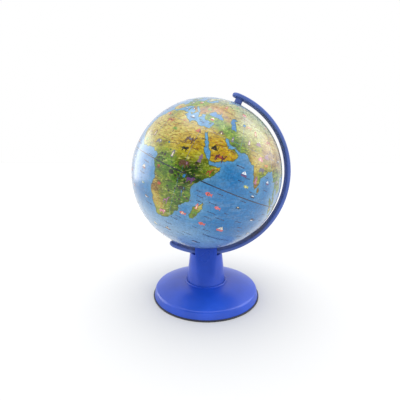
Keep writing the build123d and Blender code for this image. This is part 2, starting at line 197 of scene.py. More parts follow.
# ---- the map's outlines: longitude and latitude in degrees ----
LANDS = {
    "africa": [
        (-6, 35.8), (-2, 35.2), (3, 36.9), (9.8, 37.3), (11, 37), (10.2, 34.3), (15.2, 32.3),
        (19, 30.3), (20.1, 32.4), (23, 32.6), (25, 31.6), (29, 30.9), (32.3, 31.3), (32.5, 29.9),
        (33.6, 27.8), (35.5, 24), (37.2, 21), (37.3, 18.8), (39.6, 15.4), (43.1, 12.5),
        (43.3, 11.5), (44.6, 10.4), (48, 11.1), (51.2, 11.7), (50.8, 9), (49.2, 6), (47.5, 3.8),
        (44, 1), (41.6, -1.7), (40.1, -2.7), (39.2, -4.8), (38.9, -6.5), (39.5, -9),
        (40.5, -10.8), (40.7, -14.8), (37, -17.8), (34.8, -19.9), (35.5, -22.2), (35.4, -24),
        (32.8, -25.6), (32.9, -27.5), (31, -29.9), (28, -32.9), (25.8, -33.9), (22, -34.1),
        (20, -34.8), (18.4, -34.1), (18.2, -32), (16.8, -29), (15, -26.5), (14.4, -22.5),
        (11.8, -18), (12.5, -14), (13.7, -11), (13, -8.8), (12.2, -6), (9, -1), (9.7, 1.5),
        (9.7, 3.8), (8.5, 4.6), (6, 4.3), (4.4, 6.3), (1.2, 6), (-2, 4.8), (-4, 5.2),
        (-7.6, 4.4), (-9.3, 5.5), (-11.4, 6.9), (-13.2, 8.8), (-15, 11), (-16.8, 12.6),
        (-17.4, 14.7), (-16.3, 17), (-16.2, 19.5), (-17, 21), (-15.8, 24), (-13, 27.8),
        (-10.2, 29.3), (-9.7, 31.4), (-7.5, 33.6),
    ],
    "madagascar": [
        (49.3, -12), (50.4, -15.6), (49.4, -18.5), (47.2, -24.8), (45.2, -25.5), (43.6, -23.3),
        (44.3, -20), (44, -17), (46.5, -15.6), (48, -13.6),
    ],
    "eurasia": [
        (-5.5, 36), (-2, 36.8), (-0.6, 38), (0.2, 39.5), (3.2, 42), (4.8, 43.4), (7.5, 43.7),
        (9, 44.4), (10.3, 43.3), (12.3, 41.7), (15.6, 40), (16, 38), (17.1, 39.3), (16.7, 40.4),
        (18.4, 40), (16, 41.8), (13.6, 43.6), (12.3, 45.2), (13.7, 45.6), (15, 44.3),
        (17.5, 43), (19.4, 41.9), (19.5, 40), (21, 38.8), (21.5, 37), (22.8, 36.5),
        (23.8, 37.9), (22.9, 39.5), (23.5, 40.3), (26, 40.8), (26.2, 39.8), (26.8, 38.5),
        (27.4, 37), (29, 36.4), (30.6, 36.8), (32.5, 36.1), (34.5, 36.7), (36, 36.7),
        (35.8, 35), (35, 33), (34.3, 31.4), (32.3, 31.3), (32.5, 29.9), (34.2, 27.8),
        (34.9, 29.4), (35.2, 28), (37.2, 25), (39.1, 21.5), (41, 18.8), (42.7, 16),
        (43.3, 12.7), (45, 12.8), (48.5, 14), (52.2, 15.7), (55.2, 17.3), (57.8, 18.5),
        (59, 20.3), (59.8, 22.3), (58.6, 23.6), (56.9, 24.5), (56.3, 26.2), (54.5, 24.3),
        (51.6, 24.3), (51.4, 25.9), (50.7, 25), (50, 26.7), (48.2, 29), (48, 30), (50.3, 30),
        (51.5, 27.8), (54.6, 26.6), (56.9, 27.1), (57.3, 25.7), (61.5, 25.1), (66.5, 25.3),
        (67.3, 24), (69, 22.3), (70.3, 21), (72.4, 21.3), (72.8, 19), (73.5, 16), (74.8, 12.8),
        (76.3, 9.2), (77.8, 7.4), (78.8, 9), (79.9, 11), (80.2, 13.5), (80.3, 15.6),
        (82.3, 16.8), (85, 19.5), (87, 21.3), (90, 22), (91.8, 22.5), (92.5, 20.5),
        (94.3, 18.6), (94.3, 16), (96, 16.4), (97.5, 16.6), (97.8, 14.5), (98.6, 12),
        (98.4, 8.5), (100.3, 6), (101.4, 2.8), (103.5, 1.3), (104.2, 1.5), (103.4, 4),
        (102, 6.3), (100.3, 8.5), (99.3, 10.5), (100, 13.3), (101, 13.3), (102.3, 12),
        (103.5, 10.6), (104.9, 8.7), (106.6, 10.3), (109.2, 11.7), (109, 13.8), (107.2, 16.5),
        (105.8, 19), (106.8, 20.8), (108.2, 21.6), (110, 21.3), (110.3, 20.3), (111, 21.5),
        (114, 22.4), (117, 23.6), (119.5, 25.8), (121.5, 28.5), (121.9, 30.9), (120.8, 32.8),
        (119.3, 34.9), (121, 36.6), (122.5, 37.3), (120.7, 37.7), (119, 37.3), (117.8, 38.7),
        (119.5, 39.8), (121.5, 40.8), (121.3, 39), (124.3, 40), (125.2, 38), (126.6, 36.5),
        (126.4, 34.6), (129, 35.2), (129.4, 37), (127.5, 39.5), (129.8, 41.5), (132, 43.3),
        (135.5, 44.5), (138.5, 47), (140.4, 50), (141, 53), (137.5, 54), (135.3, 54.8),
        (140, 57.8), (143, 59.3), (149, 59.6), (154.5, 59.5), (156.8, 61.5), (160, 61.7),
        (163.5, 62.5), (163, 60), (159, 58.5), (155.5, 56), (156.7, 51.2), (158.5, 53),
        (162, 56), (163.3, 58), (166, 60), (170.5, 60), (177, 62.5), (179.5, 62.5),
        (186, 64.5), (189.5, 66.1), (185, 67), (180, 68.9), (176, 69.8), (170.5, 70),
        (160, 69.7), (152, 70.9), (140, 72.5), (130, 71), (127, 73.5), (113.5, 73.7),
        (107, 76.5), (104.3, 77.7), (98, 76.3), (87, 75), (80.5, 73.6), (80.6, 72),
        (74.5, 72.8), (72.8, 71), (73.8, 68.5), (71.5, 66.5), (72.3, 69), (69, 72.8),
        (66.8, 70.8), (68, 68.5), (60.5, 69.7), (54, 68.3), (46, 68), (44, 66.5), (43.3, 68.6),
        (40, 64.7), (37, 64), (34.5, 64.5), (33, 66.6), (40.5, 66.3), (41, 67), (36, 69.1),
        (31, 69.8), (25.8, 71), (19.5, 70), (15, 68.3), (12.5, 66), (10, 63.7), (5.2, 62),
        (5, 60), (5.6, 58.8), (7, 58), (10.5, 59.3), (11.3, 58.8), (12.8, 56), (14.3, 55.5),
        (16.4, 56.8), (16.8, 58.7), (18.8, 60), (17.2, 61.5), (18.5, 63), (21.5, 64.5),
        (22.3, 65.8), (25, 65), (22.5, 63.6), (21.4, 61), (23, 59.9), (29.8, 60), (28, 59.5),
        (23.5, 59.2), (24.3, 57.5), (22, 57.6), (21, 55.5), (19.5, 54.4), (14.2, 54),
        (10.9, 54.2), (10.4, 57), (8.2, 57), (8.4, 55), (8.8, 53.8), (4.7, 53), (3.5, 51.4),
        (1.6, 50.8), (0.2, 49.6), (-1.8, 49.6), (-1.4, 48.6), (-4.7, 48.4), (-2, 47),
        (-1.2, 44.5), (-1.8, 43.4), (-8.2, 43.7), (-9.2, 42), (-9.4, 38.7), (-8.9, 37),
        (-6.3, 36.8),
    ],
    "great_britain": [
        (-5.2, 50.1), (1.3, 51.1), (1.6, 52.7), (-0.2, 54), (-1.6, 55.3), (-2, 57.6),
        (-3.2, 58.6), (-5, 58.5), (-5.7, 56.3), (-3.2, 54.8), (-4.6, 53.2), (-5.2, 51.8),
        (-3, 51.4),
    ],
    "ireland": [(-6.2, 52.2), (-6, 54), (-7.5, 55.3), (-9.9, 54), (-10.2, 51.8)],
    "iceland": [
        (-24.3, 65.5), (-22.5, 66.4), (-18, 66.1), (-14.6, 66), (-13.6, 65), (-18.5, 63.5),
        (-22.5, 63.9),
    ],
    "sicily": [(12.5, 38), (15.6, 38.2), (15.1, 36.7)],
    "sardinia_corsica": [(8.4, 39), (9.7, 39.2), (9.4, 42.9), (8.6, 42), (8.2, 40.8)],
    "crete": [(23.6, 35.5), (26.2, 35.3), (25, 34.8)],
    "cyprus": [(32.3, 34.8), (34.4, 35.6), (33.8, 34.8)],
    "svalbard": [(11, 79), (16, 80), (22, 80.3), (20, 78.5), (17, 76.6), (13.5, 77.8)],
    "novaya_zemlya": [
        (52, 71.3), (56, 73.8), (66, 77), (68.5, 76.8), (60, 74.5), (57, 70.8), (53.5, 70.8),
    ],
    "severnaya_zemlya": [(96, 79.5), (95.5, 81), (103, 79.3), (102, 78.3)],
    "new_siberia": [(138, 75.5), (143, 76), (150, 75), (143, 73.4)],
    "sakhalin": [(142.5, 54.2), (143.5, 50), (143.3, 46.8), (142, 46), (142.2, 49)],
    "hokkaido": [(140, 41.6), (141.7, 45.4), (145.5, 43.4), (143.2, 42)],
    "honshu": [
        (131, 34.2), (133, 35.5), (136, 36), (137.3, 37.3), (139.5, 38.8), (140.2, 41),
        (141.5, 41.3), (142, 39.5), (140.8, 35.7), (138.7, 34.7), (135.6, 33.5), (134.5, 34.6),
    ],
    "kyushu": [(129.8, 33), (131.5, 33.6), (131.3, 31.4), (130.2, 31.3)],
    "shikoku": [(132.3, 33.5), (134.4, 34.2), (133.9, 33.3), (132.8, 32.8)],
    "taiwan": [(120.2, 23), (121.5, 25.2), (121, 22.1)],
    "hainan": [(108.8, 19.3), (110.7, 20), (109.8, 18.2)],
    "luzon": [
        (120.4, 16.2), (120.8, 18.5), (122.2, 18.3), (121.6, 15.5), (124, 13), (122, 13.7),
        (120.5, 14.2),
    ],
    "visayas": [(122, 10.5), (123.2, 11.8), (125, 12), (124.6, 10), (123, 9.5)],
    "mindanao": [(122, 7), (123.8, 8.6), (125.5, 9.7), (126.5, 7.5), (125.5, 5.7), (124, 6.8)],
    "borneo": [
        (109, 1.5), (111.3, 2.6), (114, 4.7), (116.8, 7), (119.2, 5.2), (117.8, 3), (118, 1),
        (116.3, -1.5), (116.2, -4), (114, -3.5), (110.2, -2.8),
    ],
    "sumatra": [
        (95.3, 5.6), (97.8, 5.1), (100.5, 2.5), (103.8, -1), (106, -3), (105.8, -5.8),
        (104.2, -5.8), (101.5, -3), (98.8, 1.5),
    ],
    "java": [
        (105.3, -6.8), (108.5, -6.7), (112.7, -7), (114.4, -8.5), (110, -8.1), (106.5, -7.4),
    ],
    "sulawesi": [
        (119, -3.3), (119.6, -0.5), (120.3, 1.2), (124.8, 1.5), (123.5, 0.4), (120.3, 0.5),
        (121.5, -0.9), (123.3, -1), (121.5, -2), (122.5, -4), (121.4, -4.5), (120.6, -3),
        (120.4, -5.5), (119.5, -5.4),
    ],
    "timor": [(123.6, -10.3), (127, -8.4), (125, -9.2)],
    "new_guinea": [
        (131, -0.9), (134, -0.9), (135, -3.3), (138, -1.7), (141, -2.6), (144.5, -3.9),
        (147.8, -6), (147, -6.8), (150.8, -10.3), (147, -9.5), (143.5, -8.2), (142.5, -9.2),
        (138, -8.2), (138, -5.5), (133.3, -4), (132.7, -2.8),
    ],
    "new_britain": [(148.4, -5.7), (152, -4.2), (151.5, -5.6), (150, -6.3)],
    "sri_lanka": [(79.8, 8), (80.3, 9.5), (81.8, 7.3), (80.6, 5.7)],
    "australia": [
        (114.2, -22), (113.6, -25), (115.7, -31.8), (115, -34.3), (118, -35), (123.5, -33.9),
        (126, -32.3), (131, -31.5), (134.2, -32.8), (135.6, -34.8), (137.8, -32.6),
        (138.2, -35.5), (140.5, -38), (143.6, -38.8), (146.4, -39), (150, -37.4), (151.5, -33),
        (153.3, -28.5), (153, -25.2), (150.8, -23.3), (148.5, -20.2), (146, -18.8),
        (145.3, -15), (143.6, -14.2), (142.5, -10.8), (141.6, -13), (140.8, -17.5),
        (139.3, -17.4), (135.5, -15), (136.8, -12.2), (132.6, -11.4), (130.2, -12.8),
        (129.5, -15), (126.5, -14), (124.4, -16.4), (122.2, -18.2), (119, -20), (116.7, -20.7),
    ],
    "tasmania": [(144.7, -40.8), (148.2, -40.9), (147.8, -43.2), (146, -43.5)],
    "new_zealand_north": [
        (172.8, -34.5), (175.4, -36.8), (178.4, -37.7), (177, -39.5), (175.3, -41.6),
        (173.9, -39.3), (174.7, -38),
    ],
    "new_zealand_south": [
        (172.7, -40.6), (174.2, -41.8), (172.8, -43.8), (170.7, -45.9), (168.3, -46.6),
        (166.5, -45.8), (170.5, -43),
    ],
    "new_caledonia": [(164, -20.2), (167, -22.3), (166.3, -22.6)],
    "hawaii": [(-156, 20.2), (-154.9, 19.5), (-155.8, 19)],
    "north_america": [
        (-168, 65.6), (-164, 66.5), (-166.3, 68.3), (-163, 69.5), (-156.5, 71.3), (-141, 69.7),
        (-135, 69.3), (-128, 70.3), (-124, 69.6), (-115, 68.2), (-108, 68), (-102, 67.8),
        (-96, 68.2), (-94, 71.9), (-90, 69), (-88, 67.9), (-85.5, 69.5), (-81.5, 68.8),
        (-82, 66.5), (-87, 64.8), (-94, 61), (-94.6, 58.8), (-92.5, 57), (-88, 56.3),
        (-82.3, 55.2), (-82.2, 53), (-79.7, 51.3), (-78.8, 54.5), (-76.6, 57), (-78.3, 58.8),
        (-77.5, 62.4), (-73.7, 62.4), (-70, 61), (-69.5, 58.8), (-66, 58.8), (-64.5, 60.3),
        (-61.5, 57), (-57.3, 54.6), (-55.8, 52.4), (-60, 50.2), (-66.3, 50.2), (-70, 47),
        (-65, 49.2), (-64.5, 46.3), (-61, 45.7), (-66, 43.6), (-67, 44.8), (-70.5, 43.3),
        (-70, 41.7), (-74, 40.6), (-75.5, 38), (-76, 36.9), (-75.6, 35.3), (-78.5, 33.8),
        (-81.2, 31.7), (-81.4, 30), (-80.1, 26.8), (-80.4, 25.2), (-81.8, 26.1), (-82.8, 28),
        (-84.2, 30), (-89.5, 30.2), (-89.5, 29.2), (-94, 29.6), (-97.2, 27.7), (-97.8, 22.5),
        (-96, 19), (-94.5, 18.2), (-91.5, 18.6), (-90.4, 21), (-87, 21.5), (-87.7, 18.3),
        (-88.6, 15.8), (-84, 15.8), (-83.3, 14.8), (-83.7, 11), (-81.5, 9), (-79.8, 9.5),
        (-77.4, 8.6), (-77.8, 7.3), (-80, 7.5), (-82.9, 8.2), (-85.7, 10), (-87.6, 12.9),
        (-91.5, 14), (-94.5, 16.2), (-99, 16.7), (-102, 18), (-105.5, 20.2), (-105.4, 22),
        (-108.5, 25.3), (-112.3, 29), (-114.8, 31.6), (-111.3, 26), (-109.5, 23.1),
        (-112.2, 25), (-115, 28), (-117.1, 32.6), (-120.6, 34.5), (-122.4, 37.3),
        (-124.3, 40.3), (-124, 44.5), (-124.7, 48.3), (-122.8, 49), (-127.5, 51),
        (-130.3, 54.7), (-133.5, 58), (-139.5, 59.7), (-146, 60.9), (-151.8, 59.3),
        (-154, 58), (-158.5, 56), (-164.5, 54.7), (-158, 58.7), (-162, 59), (-165.5, 61.5),
        (-164.5, 63), (-161, 64.4), (-166, 64.5),
    ],
    "greenland": [
        (-46, 60), (-43, 60.2), (-40, 65), (-32, 68), (-22, 70.5), (-19, 76), (-20, 80),
        (-12, 81.5), (-30, 83.6), (-60, 82), (-68, 80), (-72, 78.2), (-60, 76), (-54.5, 71),
        (-53.5, 67), (-51, 63),
    ],
    "baffin": [
        (-64.5, 63.3), (-71.5, 62.5), (-78, 64.5), (-73, 66.5), (-72.8, 68.2), (-79, 69.8),
        (-89, 70.5), (-89.5, 73.3), (-80.5, 73.7), (-72, 71.5), (-66.5, 69), (-61.5, 66.6),
        (-66.5, 65),
    ],
    "ellesmere": [
        (-80, 76), (-90, 76.5), (-95, 80.5), (-91, 82), (-70, 83.1), (-62, 82.4), (-74, 79.3),
        (-78, 76.5),
    ],
    "victoria": [(-116, 69), (-105, 69), (-101.5, 70), (-105, 73), (-117, 73), (-118, 71)],
    "banks": [(-125.5, 72), (-123, 71.2), (-117, 75.6), (-124.5, 74.5)],
    "southampton": [(-86.5, 64), (-84, 65.8), (-80.5, 63.7)],
    "newfoundland": [(-59.2, 47.8), (-56, 51.5), (-53, 47), (-55.8, 47)],
    "vancouver": [(-128, 50.7), (-123.7, 48.5), (-125.8, 49.2)],
    "cuba": [
        (-84.8, 21.9), (-82, 23.1), (-77, 21.7), (-74.3, 20.3), (-77.6, 19.9), (-78.5, 21.4),
    ],
    "hispaniola": [(-74.4, 18.5), (-72.8, 19.9), (-68.5, 18.7), (-71.5, 17.8)],
    "jamaica": [(-78.2, 18.3), (-76.3, 18.1), (-77.3, 17.8)],
    "south_america": [
        (-77.4, 8.6), (-75.5, 10.8), (-71.8, 12.3), (-71.5, 10.8), (-68, 11.6), (-62, 10.7),
        (-60, 8.4), (-57, 6), (-51.7, 4.2), (-50, 1), (-48.3, -0.8), (-44.3, -2.7),
        (-39.5, -3.2), (-35.3, -5.3), (-34.8, -8), (-37.2, -11.3), (-39, -14), (-39.2, -17.8),
        (-41, -22), (-44.5, -23), (-48.4, -26), (-48.8, -28.5), (-52, -32.3), (-54.9, -34.9),
        (-58.3, -34), (-56.8, -36.4), (-58, -38.2), (-62.2, -39), (-65, -41), (-63.7, -42.6),
        (-67.4, -46), (-65.8, -47.9), (-69, -51.5), (-68.4, -53), (-65.2, -54.8),
        (-70, -55.2), (-74.5, -52.5), (-75.5, -47.5), (-73.5, -42), (-73.5, -37.2),
        (-71.5, -32), (-70.3, -25), (-70.3, -18.4), (-76.2, -14), (-79, -8.2), (-81.2, -5),
        (-80, -2.5), (-80, 1), (-77.3, 3.8), (-77.8, 7.3),
    ],
    "falklands": [(-61, -51.7), (-58, -51.4), (-60, -52.4)],
    "antarctica": [
        (-170, -78.5), (-158, -77.5), (-150, -76.5), (-135, -74.5), (-120, -74), (-103, -75),
        (-100, -72.5), (-85, -73), (-75, -72), (-68, -68.5), (-63, -64.8), (-57.5, -63.3),
        (-61, -67), (-62, -73.5), (-60, -77), (-40, -78), (-30, -76.3), (-16, -72.5), (0, -70),
        (20, -70), (38, -69.5), (50, -66.5), (56, -66.2), (70, -68), (73, -70), (80, -67.8),
        (95, -66.4), (112, -66.2), (130, -66.2), (145, -67), (155, -69), (170, -72),
        (163, -77), (180, -78.3), (190, -78.5), (190, -TOP_LAT), (-170, -TOP_LAT),
    ],
}

WATERS = {
    "black_sea": [
        (28, 41.6), (28.7, 44), (30.8, 46.3), (33, 45.8), (33.7, 44.5), (36.5, 45.2),
        (38, 46.8), (38, 44.4), (41.3, 42.4), (41, 41.1), (36, 41.4), (31.5, 41.2),
    ],
    "caspian_sea": [
        (47.5, 43), (47.8, 45.5), (51, 47), (53.5, 46.3), (51, 44.4), (52.7, 41.5), (53.8, 39),
        (54, 37), (50.3, 37.2), (49.3, 39.5), (49.5, 40.5), (48, 42),
    ],
    "aral_sea": [(58.3, 44), (59, 46.2), (61.5, 46.4), (60.8, 44)],
    "lake_victoria": [(31.8, -0.9), (32, -2.6), (33.6, -2.3), (34.1, 0.2), (32.6, 0.4)],
    "lake_tanganyika": [(29.2, -3.4), (29.6, -6.3), (31, -8.7), (30, -5.8), (29.6, -3.4)],
    "lake_malawi": [(33.9, -9.6), (34.4, -12), (35.2, -14), (34.8, -11.8), (34.4, -9.6)],
    "lake_chad": [(13.4, 13), (14.2, 13.9), (15.1, 13.1), (14.2, 12.5)],
    "lake_baikal": [(104, 51.6), (106, 52.8), (109.5, 55.6), (109.2, 53.6), (106, 51.7)],
    "superior": [(-92, 46.7), (-88.5, 48.6), (-85, 47.9), (-84.8, 46.6), (-87.5, 46.6)],
    "michigan": [(-87.8, 42), (-87.8, 44), (-86, 45.8), (-85.3, 45.2), (-86.5, 43.5), (-86.6, 42)],
    "huron": [(-84, 45.9), (-80.5, 45.7), (-81.6, 43.5), (-82.4, 43.2), (-83.3, 45)],
    "erie_ontario": [(-83, 41.6), (-79, 43), (-76.5, 44.1), (-79.2, 43.6), (-82.5, 42.4)],
    "winnipeg": [(-98.5, 50.6), (-98.8, 53.5), (-97.4, 53.4), (-96.6, 50.8)],
    "great_bear": [(-124, 65.5), (-122, 67), (-118.5, 66), (-121, 65)],
    "great_slave": [(-117, 61), (-114, 62.4), (-109.5, 62.8), (-113, 61)],
}


# ---- outlines with natural wiggles ----
# A side longer than this many degrees is split, and its middle moves across by up to half of
# SWING times its length, which counts as no more than SWING_GAP. The border stays straight.
LONGEST_SIDE = 1.3
SWING = 0.32
SWING_GAP = 4
BORDER_LAT = 86


def wiggled(points, seed):
    """A closed outline, counter-clockwise, its long sides split again and again with small steps."""
    chance = random.Random(seed)
    if sum(a[0] * b[1] - b[0] * a[1] for a, b in zip(points, points[1:] + points[:1])) < 0:
        points = points[::-1]

    def split(a, b):
        gap = math.dist(a, b)
        if gap < LONGEST_SIDE:
            return [a]
        swing = (chance.random() - 0.5) * SWING * min(gap, SWING_GAP)
        nx, ny = (b[1] - a[1]) / gap, (a[0] - b[0]) / gap
        middle = ((a[0] + b[0]) / 2 + nx * swing, (a[1] + b[1]) / 2 + ny * swing)
        return split(a, middle) + split(middle, b)

    made = []
    for a, b in zip(points, points[1:] + points[:1]):
        on_border = abs(a[1]) > BORDER_LAT or abs(b[1]) > BORDER_LAT
        made += [a] if on_border else split(a, b)
    return made


LAND_RINGS = [wiggled(ring, name) for name, ring in LANDS.items()]
WATER_RINGS = [wiggled(ring, name) for name, ring in WATERS.items()]


def inside(ring, spots):
    """Which spots lie inside a closed outline, by counting the sides east of each."""
    x, y = np.asarray(spots).T
    hit = np.zeros(len(spots), bool)
    for a, b in zip(ring, ring[1:] + ring[:1]):
        if a[1] != b[1]:
            spans = (a[1] > y) != (b[1] > y)
            hit ^= spans & (x < (b[0] - a[0]) * (y - a[1]) / (b[1] - a[1]) + a[0])
    return hit


def on_land(spots):
    """Which spots are land: inside a coast and in no lake."""
    spots = np.array(spots)
    land = np.zeros(len(spots), bool)
    for ring in LAND_RINGS:
        land |= inside(ring, spots)
    for ring in WATER_RINGS:
        land &= ~inside(ring, spots)
    return land


def unit(lon, lat):
    """A direction for comparing places, whatever the ball's pose."""
    a = math.radians(lon)
    b = math.radians(lat)
    return Vector((math.cos(b) * math.cos(a), math.cos(b) * math.sin(a), math.sin(b)))


def shore_tree():
    """Every point of the coasts, for finding how far a place at sea is from land."""
    points = [p for ring in LAND_RINGS for p in ring]
    tree = KDTree(len(points))
    for k, (lon, lat) in enumerate(points):
        tree.insert(unit(lon, lat), k)
    tree.balance()
    return tree


shores = shore_tree()


def from_shore(direction):
    return shores.find(direction)[2]


# ---- the print's colours, as sRGB out of 255 ----
INKS = {
    "sea": (92, 156, 214),
    "shallow": (132, 186, 226),
    "deep": (72, 134, 200),
    # A pale blue over the southern sea: a painted reflection on the ball's lower part.
    "south_painted_reflection": (176, 214, 246),
    "desert": (222, 192, 92),
    "dune": (222, 206, 122),
    "savanna": (176, 184, 52),
    "jungle": (86, 142, 24),
    "dark_jungle": (52, 96, 20),
    "bush": (128, 158, 36),
    "arabia": (226, 190, 66),
    "farmland": (178, 138, 66),
    "meadow": (122, 172, 40),
    "steppe": (206, 212, 150),
    "taiga": (176, 196, 140),
    "tundra": (206, 206, 176),
    "ice": (236, 242, 246),
    "plain": (222, 198, 112),
    "rock": (176, 118, 62),
    "outback": (206, 132, 48),
    "umber": (92, 62, 34),
    "maroon": (96, 34, 44),
    "mauve": (136, 98, 120),
    "slate": (104, 104, 116),
    "night": (34, 40, 26),
    "rust": (176, 76, 40),
    "coral": (214, 92, 84),
    "pink": (214, 130, 150),
    "cream": (236, 222, 190),
    "navy": (12, 30, 74),
    "equator": (8, 20, 50),
    "teal": (52, 128, 138),
    "plum": (98, 54, 110),
    "coast": (62, 92, 48),
    "pack_ice": (206, 220, 206),
}

# Where each land colour lies: longitude, latitude and spread in degrees.
REGIONS = {
    "dune": [
        (-8, 24, 12), (5, 27, 12), (17, 25, 10), (8, 18, 9), (-8, 16, 8), (48, -15, 3),
        (104, 44, 8),
    ],
    "desert": [(28, 24, 9), (30, 17, 8), (22, 16, 8), (39, 29, 5), (-108, 34, 6), (-103, 24, 6)],
    "bush": [
        (0, 33, 5), (44, 6, 4), (20, -10, 6), (24, -18, 5), (28, -25, 4), (47, -19, 4),
        (60, 34, 5), (-120, 40, 5), (117, -32, 4),
    ],
    "savanna": [
        (35, 12, 5), (25, 10, 6), (10, 11, 6), (-8, 10, 6), (24, -31, 5), (72, 33, 5),
        (86, 24, 5), (118, 37, 6), (-100, 50, 8), (-42, -8, 6), (-60, -27, 6), (133, -14, 5),
    ],
    "meadow": [
        (20, 4, 6), (44, 34, 4), (35, 39, 6), (52, 34, 5), (64, 29, 5), (80, 16, 4), (115, 28, 7),
        (126, 45, 6), (105, 13, 5), (110, -7, 4), (121, 12, 6), (138, 37, 6), (14, 49, 5),
        (2, 47, 5), (-3, 54, 4), (-88, 38, 8), (-80, 34, 6), (-78, 21, 4), (-66, 6, 6),
        (-46, -18, 6), (147, -24, 5), (149, -34, 4), (172, -41, 6),
    ],
    "jungle": [
        (14, 2, 6), (24, -2, 7), (38, -10, 4), (28, -10, 6), (33, -17, 5), (30, -29, 3),
        (56, 29, 4), (101, 18, 7), (113, 0, 8), (102, 0, 6), (140, -5, 8), (-120, 54, 7),
        (-92, 17, 5), (-84, 12, 4), (-62, -4, 9), (-55, -9, 8), (147, -42, 4),
    ],
    "dark_jungle": [(30, 4, 6), (38, 8, 5), (38, 0, 5), (34, -6, 5), (-70, -2, 6)],
    "farmland": [
        (15, -14, 5), (68, 30, 5), (75, 14, 3), (78, 10, 3), (88, 31, 8), (105, 33, 8),
        (27, 50, 5), (12, 43, 3), (42, 47, 5), (-71, -33, 4),
    ],
    "plain": [
        (17, -22, 4), (21, -26, 4), (74, 26, 5), (77, 21, 5), (90, 42, 8), (-4, 40, 5),
        (40, 55, 7), (-100, 40, 7), (-63, -36, 6), (142, -30, 6),
    ],
    "arabia": [(44, 24, 7), (50, 19, 6)],
    "steppe": [(62, 42, 8), (75, 47, 10), (-69, -46, 6)],
    "tundra": [
        (62, 52, 8), (16, 62, 7), (100, 71, 8), (145, 66, 10), (170, 66, 10), (-18, 65, 5),
        (-145, 64, 9), (-95, 68, 8),
    ],
    "rock": [(20, 46, 5), (-112, 42, 7), (-75, -12, 5), (-69, -22, 6)],
    "outback": [(33, 49, 5), (122, -24, 8), (134, -25, 8)],
    "taiga": [
        (50, 60, 8), (30, 62, 7), (70, 64, 10), (95, 60, 12), (120, 60, 12), (-90, 52, 8),
        (-72, 52, 7), (-110, 62, 8),
    ],
    "ice": [(-42, 72, 16), (70, 74, 6), (-85, 76, 12), (55, 73, 6), (16, 79, 8)],
}
REGION_SPOTS = [
    (unit(lon, lat), spread, ink)
    for ink, places in REGIONS.items()
    for lon, lat, spread in places
]


def linear(ink):
    """An ink's colour as linear light."""
    made = []
    for part in INKS[ink]:
        part = part / 255
        made.append(part / 12.92 if part <= 0.04045 else ((part + 0.055) / 1.055) ** 2.4)
    return made


LINEAR = {ink: linear(ink) for ink in INKS}

# How fast a region's colour fades, and the little that is left of it far away.
REGION_FADE = 2.2
REGION_REST = 1e-6
REGION_REST_NEAR = 0.1

# South of this latitude the land is ice, which takes only some of the brush strokes.
ICE_LAT = -60
ICE_STROKES = 0.74

# How far out the sea is pale and how far out it is deepest, as distances on a ball of radius 1.
SHALLOW_REACH = 0.045
DEEP_REACH = 0.5
DEEP_SHARE = 0.6
PACK_ICE_LAT = 68
PACK_ICE_SPREAD = 10
PACK_ICE_SHARE = 0.8
# South of this latitude the sea fades to pale blue over this spread in degrees, up to this share: a
# painted reflection that makes the ball's lower part paler at rest.
PAINTED_REFLECTION_LAT = -26
PAINTED_REFLECTION_SPREAD = 14
PAINTED_REFLECTION_SHARE = 0.9

# The white plastic that shows inside the shells.
INSIDE_COLOUR = (0.8, 0.8, 0.78, 0.5)


def land_colour(lon, lat):
    """A blend of the nearest regions' inks."""
    if lat < ICE_LAT:
        return LINEAR["ice"]
    here = unit(lon, lat)
    total = 1e-9
    colour = [0.0, 0.0, 0.0]
    for direction, spread, ink in REGION_SPOTS:
        away = math.degrees(here.angle(direction, 0)) / spread
        weight = math.exp(-REGION_FADE * away * away) + REGION_REST / (REGION_REST_NEAR + away**4)
        total += weight
        for k in range(3):
            colour[k] += weight * LINEAR[ink][k]
    return [part / total for part in colour]


def blended(a, b, share):
    """Two colours mixed, with the share held between 0 and 1."""
    share = min(1.0, max(0.0, share))
    return [one * (1 - share) + other * share for one, other in zip(a, b)]


def sea_colour(lon, lat):
    """Pale near the coasts, deeper far out, and paler in the south as a painted reflection."""
    far = from_shore(unit(lon, lat))
    deep = DEEP_SHARE * min(1.0, far / DEEP_REACH)
    south = PAINTED_REFLECTION_SHARE * min(1.0, (PAINTED_REFLECTION_LAT - lat) / PAINTED_REFLECTION_SPREAD)
    pack = PACK_ICE_SHARE * min(1.0, (abs(lat) - PACK_ICE_LAT) / PACK_ICE_SPREAD)
    colour = blended(LINEAR["sea"], LINEAR["deep"], deep)
    colour = blended(colour, LINEAR["shallow"], math.exp(-far / SHALLOW_REACH))
    colour = blended(colour, LINEAR["south_painted_reflection"], south)
    return blended(colour, LINEAR["pack_ice"], pack)


def print_colour(lon, lat, is_land):
    """The ink at a place, and how much of the land's brush strokes it takes."""
    if is_land:
        return (*land_colour(lon, lat), ICE_STROKES if lat < ICE_LAT else 1.0)
    return (*sea_colour(lon, lat), 0.0)


# ---- the two printed shells ----
# The map's west edge and its grid in degrees, with every second point of a row left out past
# SPARSE_LAT and three of four past SPARSEST_LAT.
SEAM_LON = -170.0
GRID_STEP = 2.5
LAST_ROW_LAT = 85
SPARSE_LAT = 65
SPARSEST_LAT = 82
MAP_MERGE = 1e-4
SAME_PLACE_DIGITS = 5


def triangulated(points, edges, merge):
    """The points, the corners of each triangle, and each triangle's middle."""
    found = delaunay_2d_cdt([Vector(point) for point in points], edges, [], 0, merge, False)
    places, triangles = found[0], found[2]
    middles = [sum((places[c] for c in corners), Vector((0, 0))) / 3 for corners in triangles]
    return places, triangles, middles


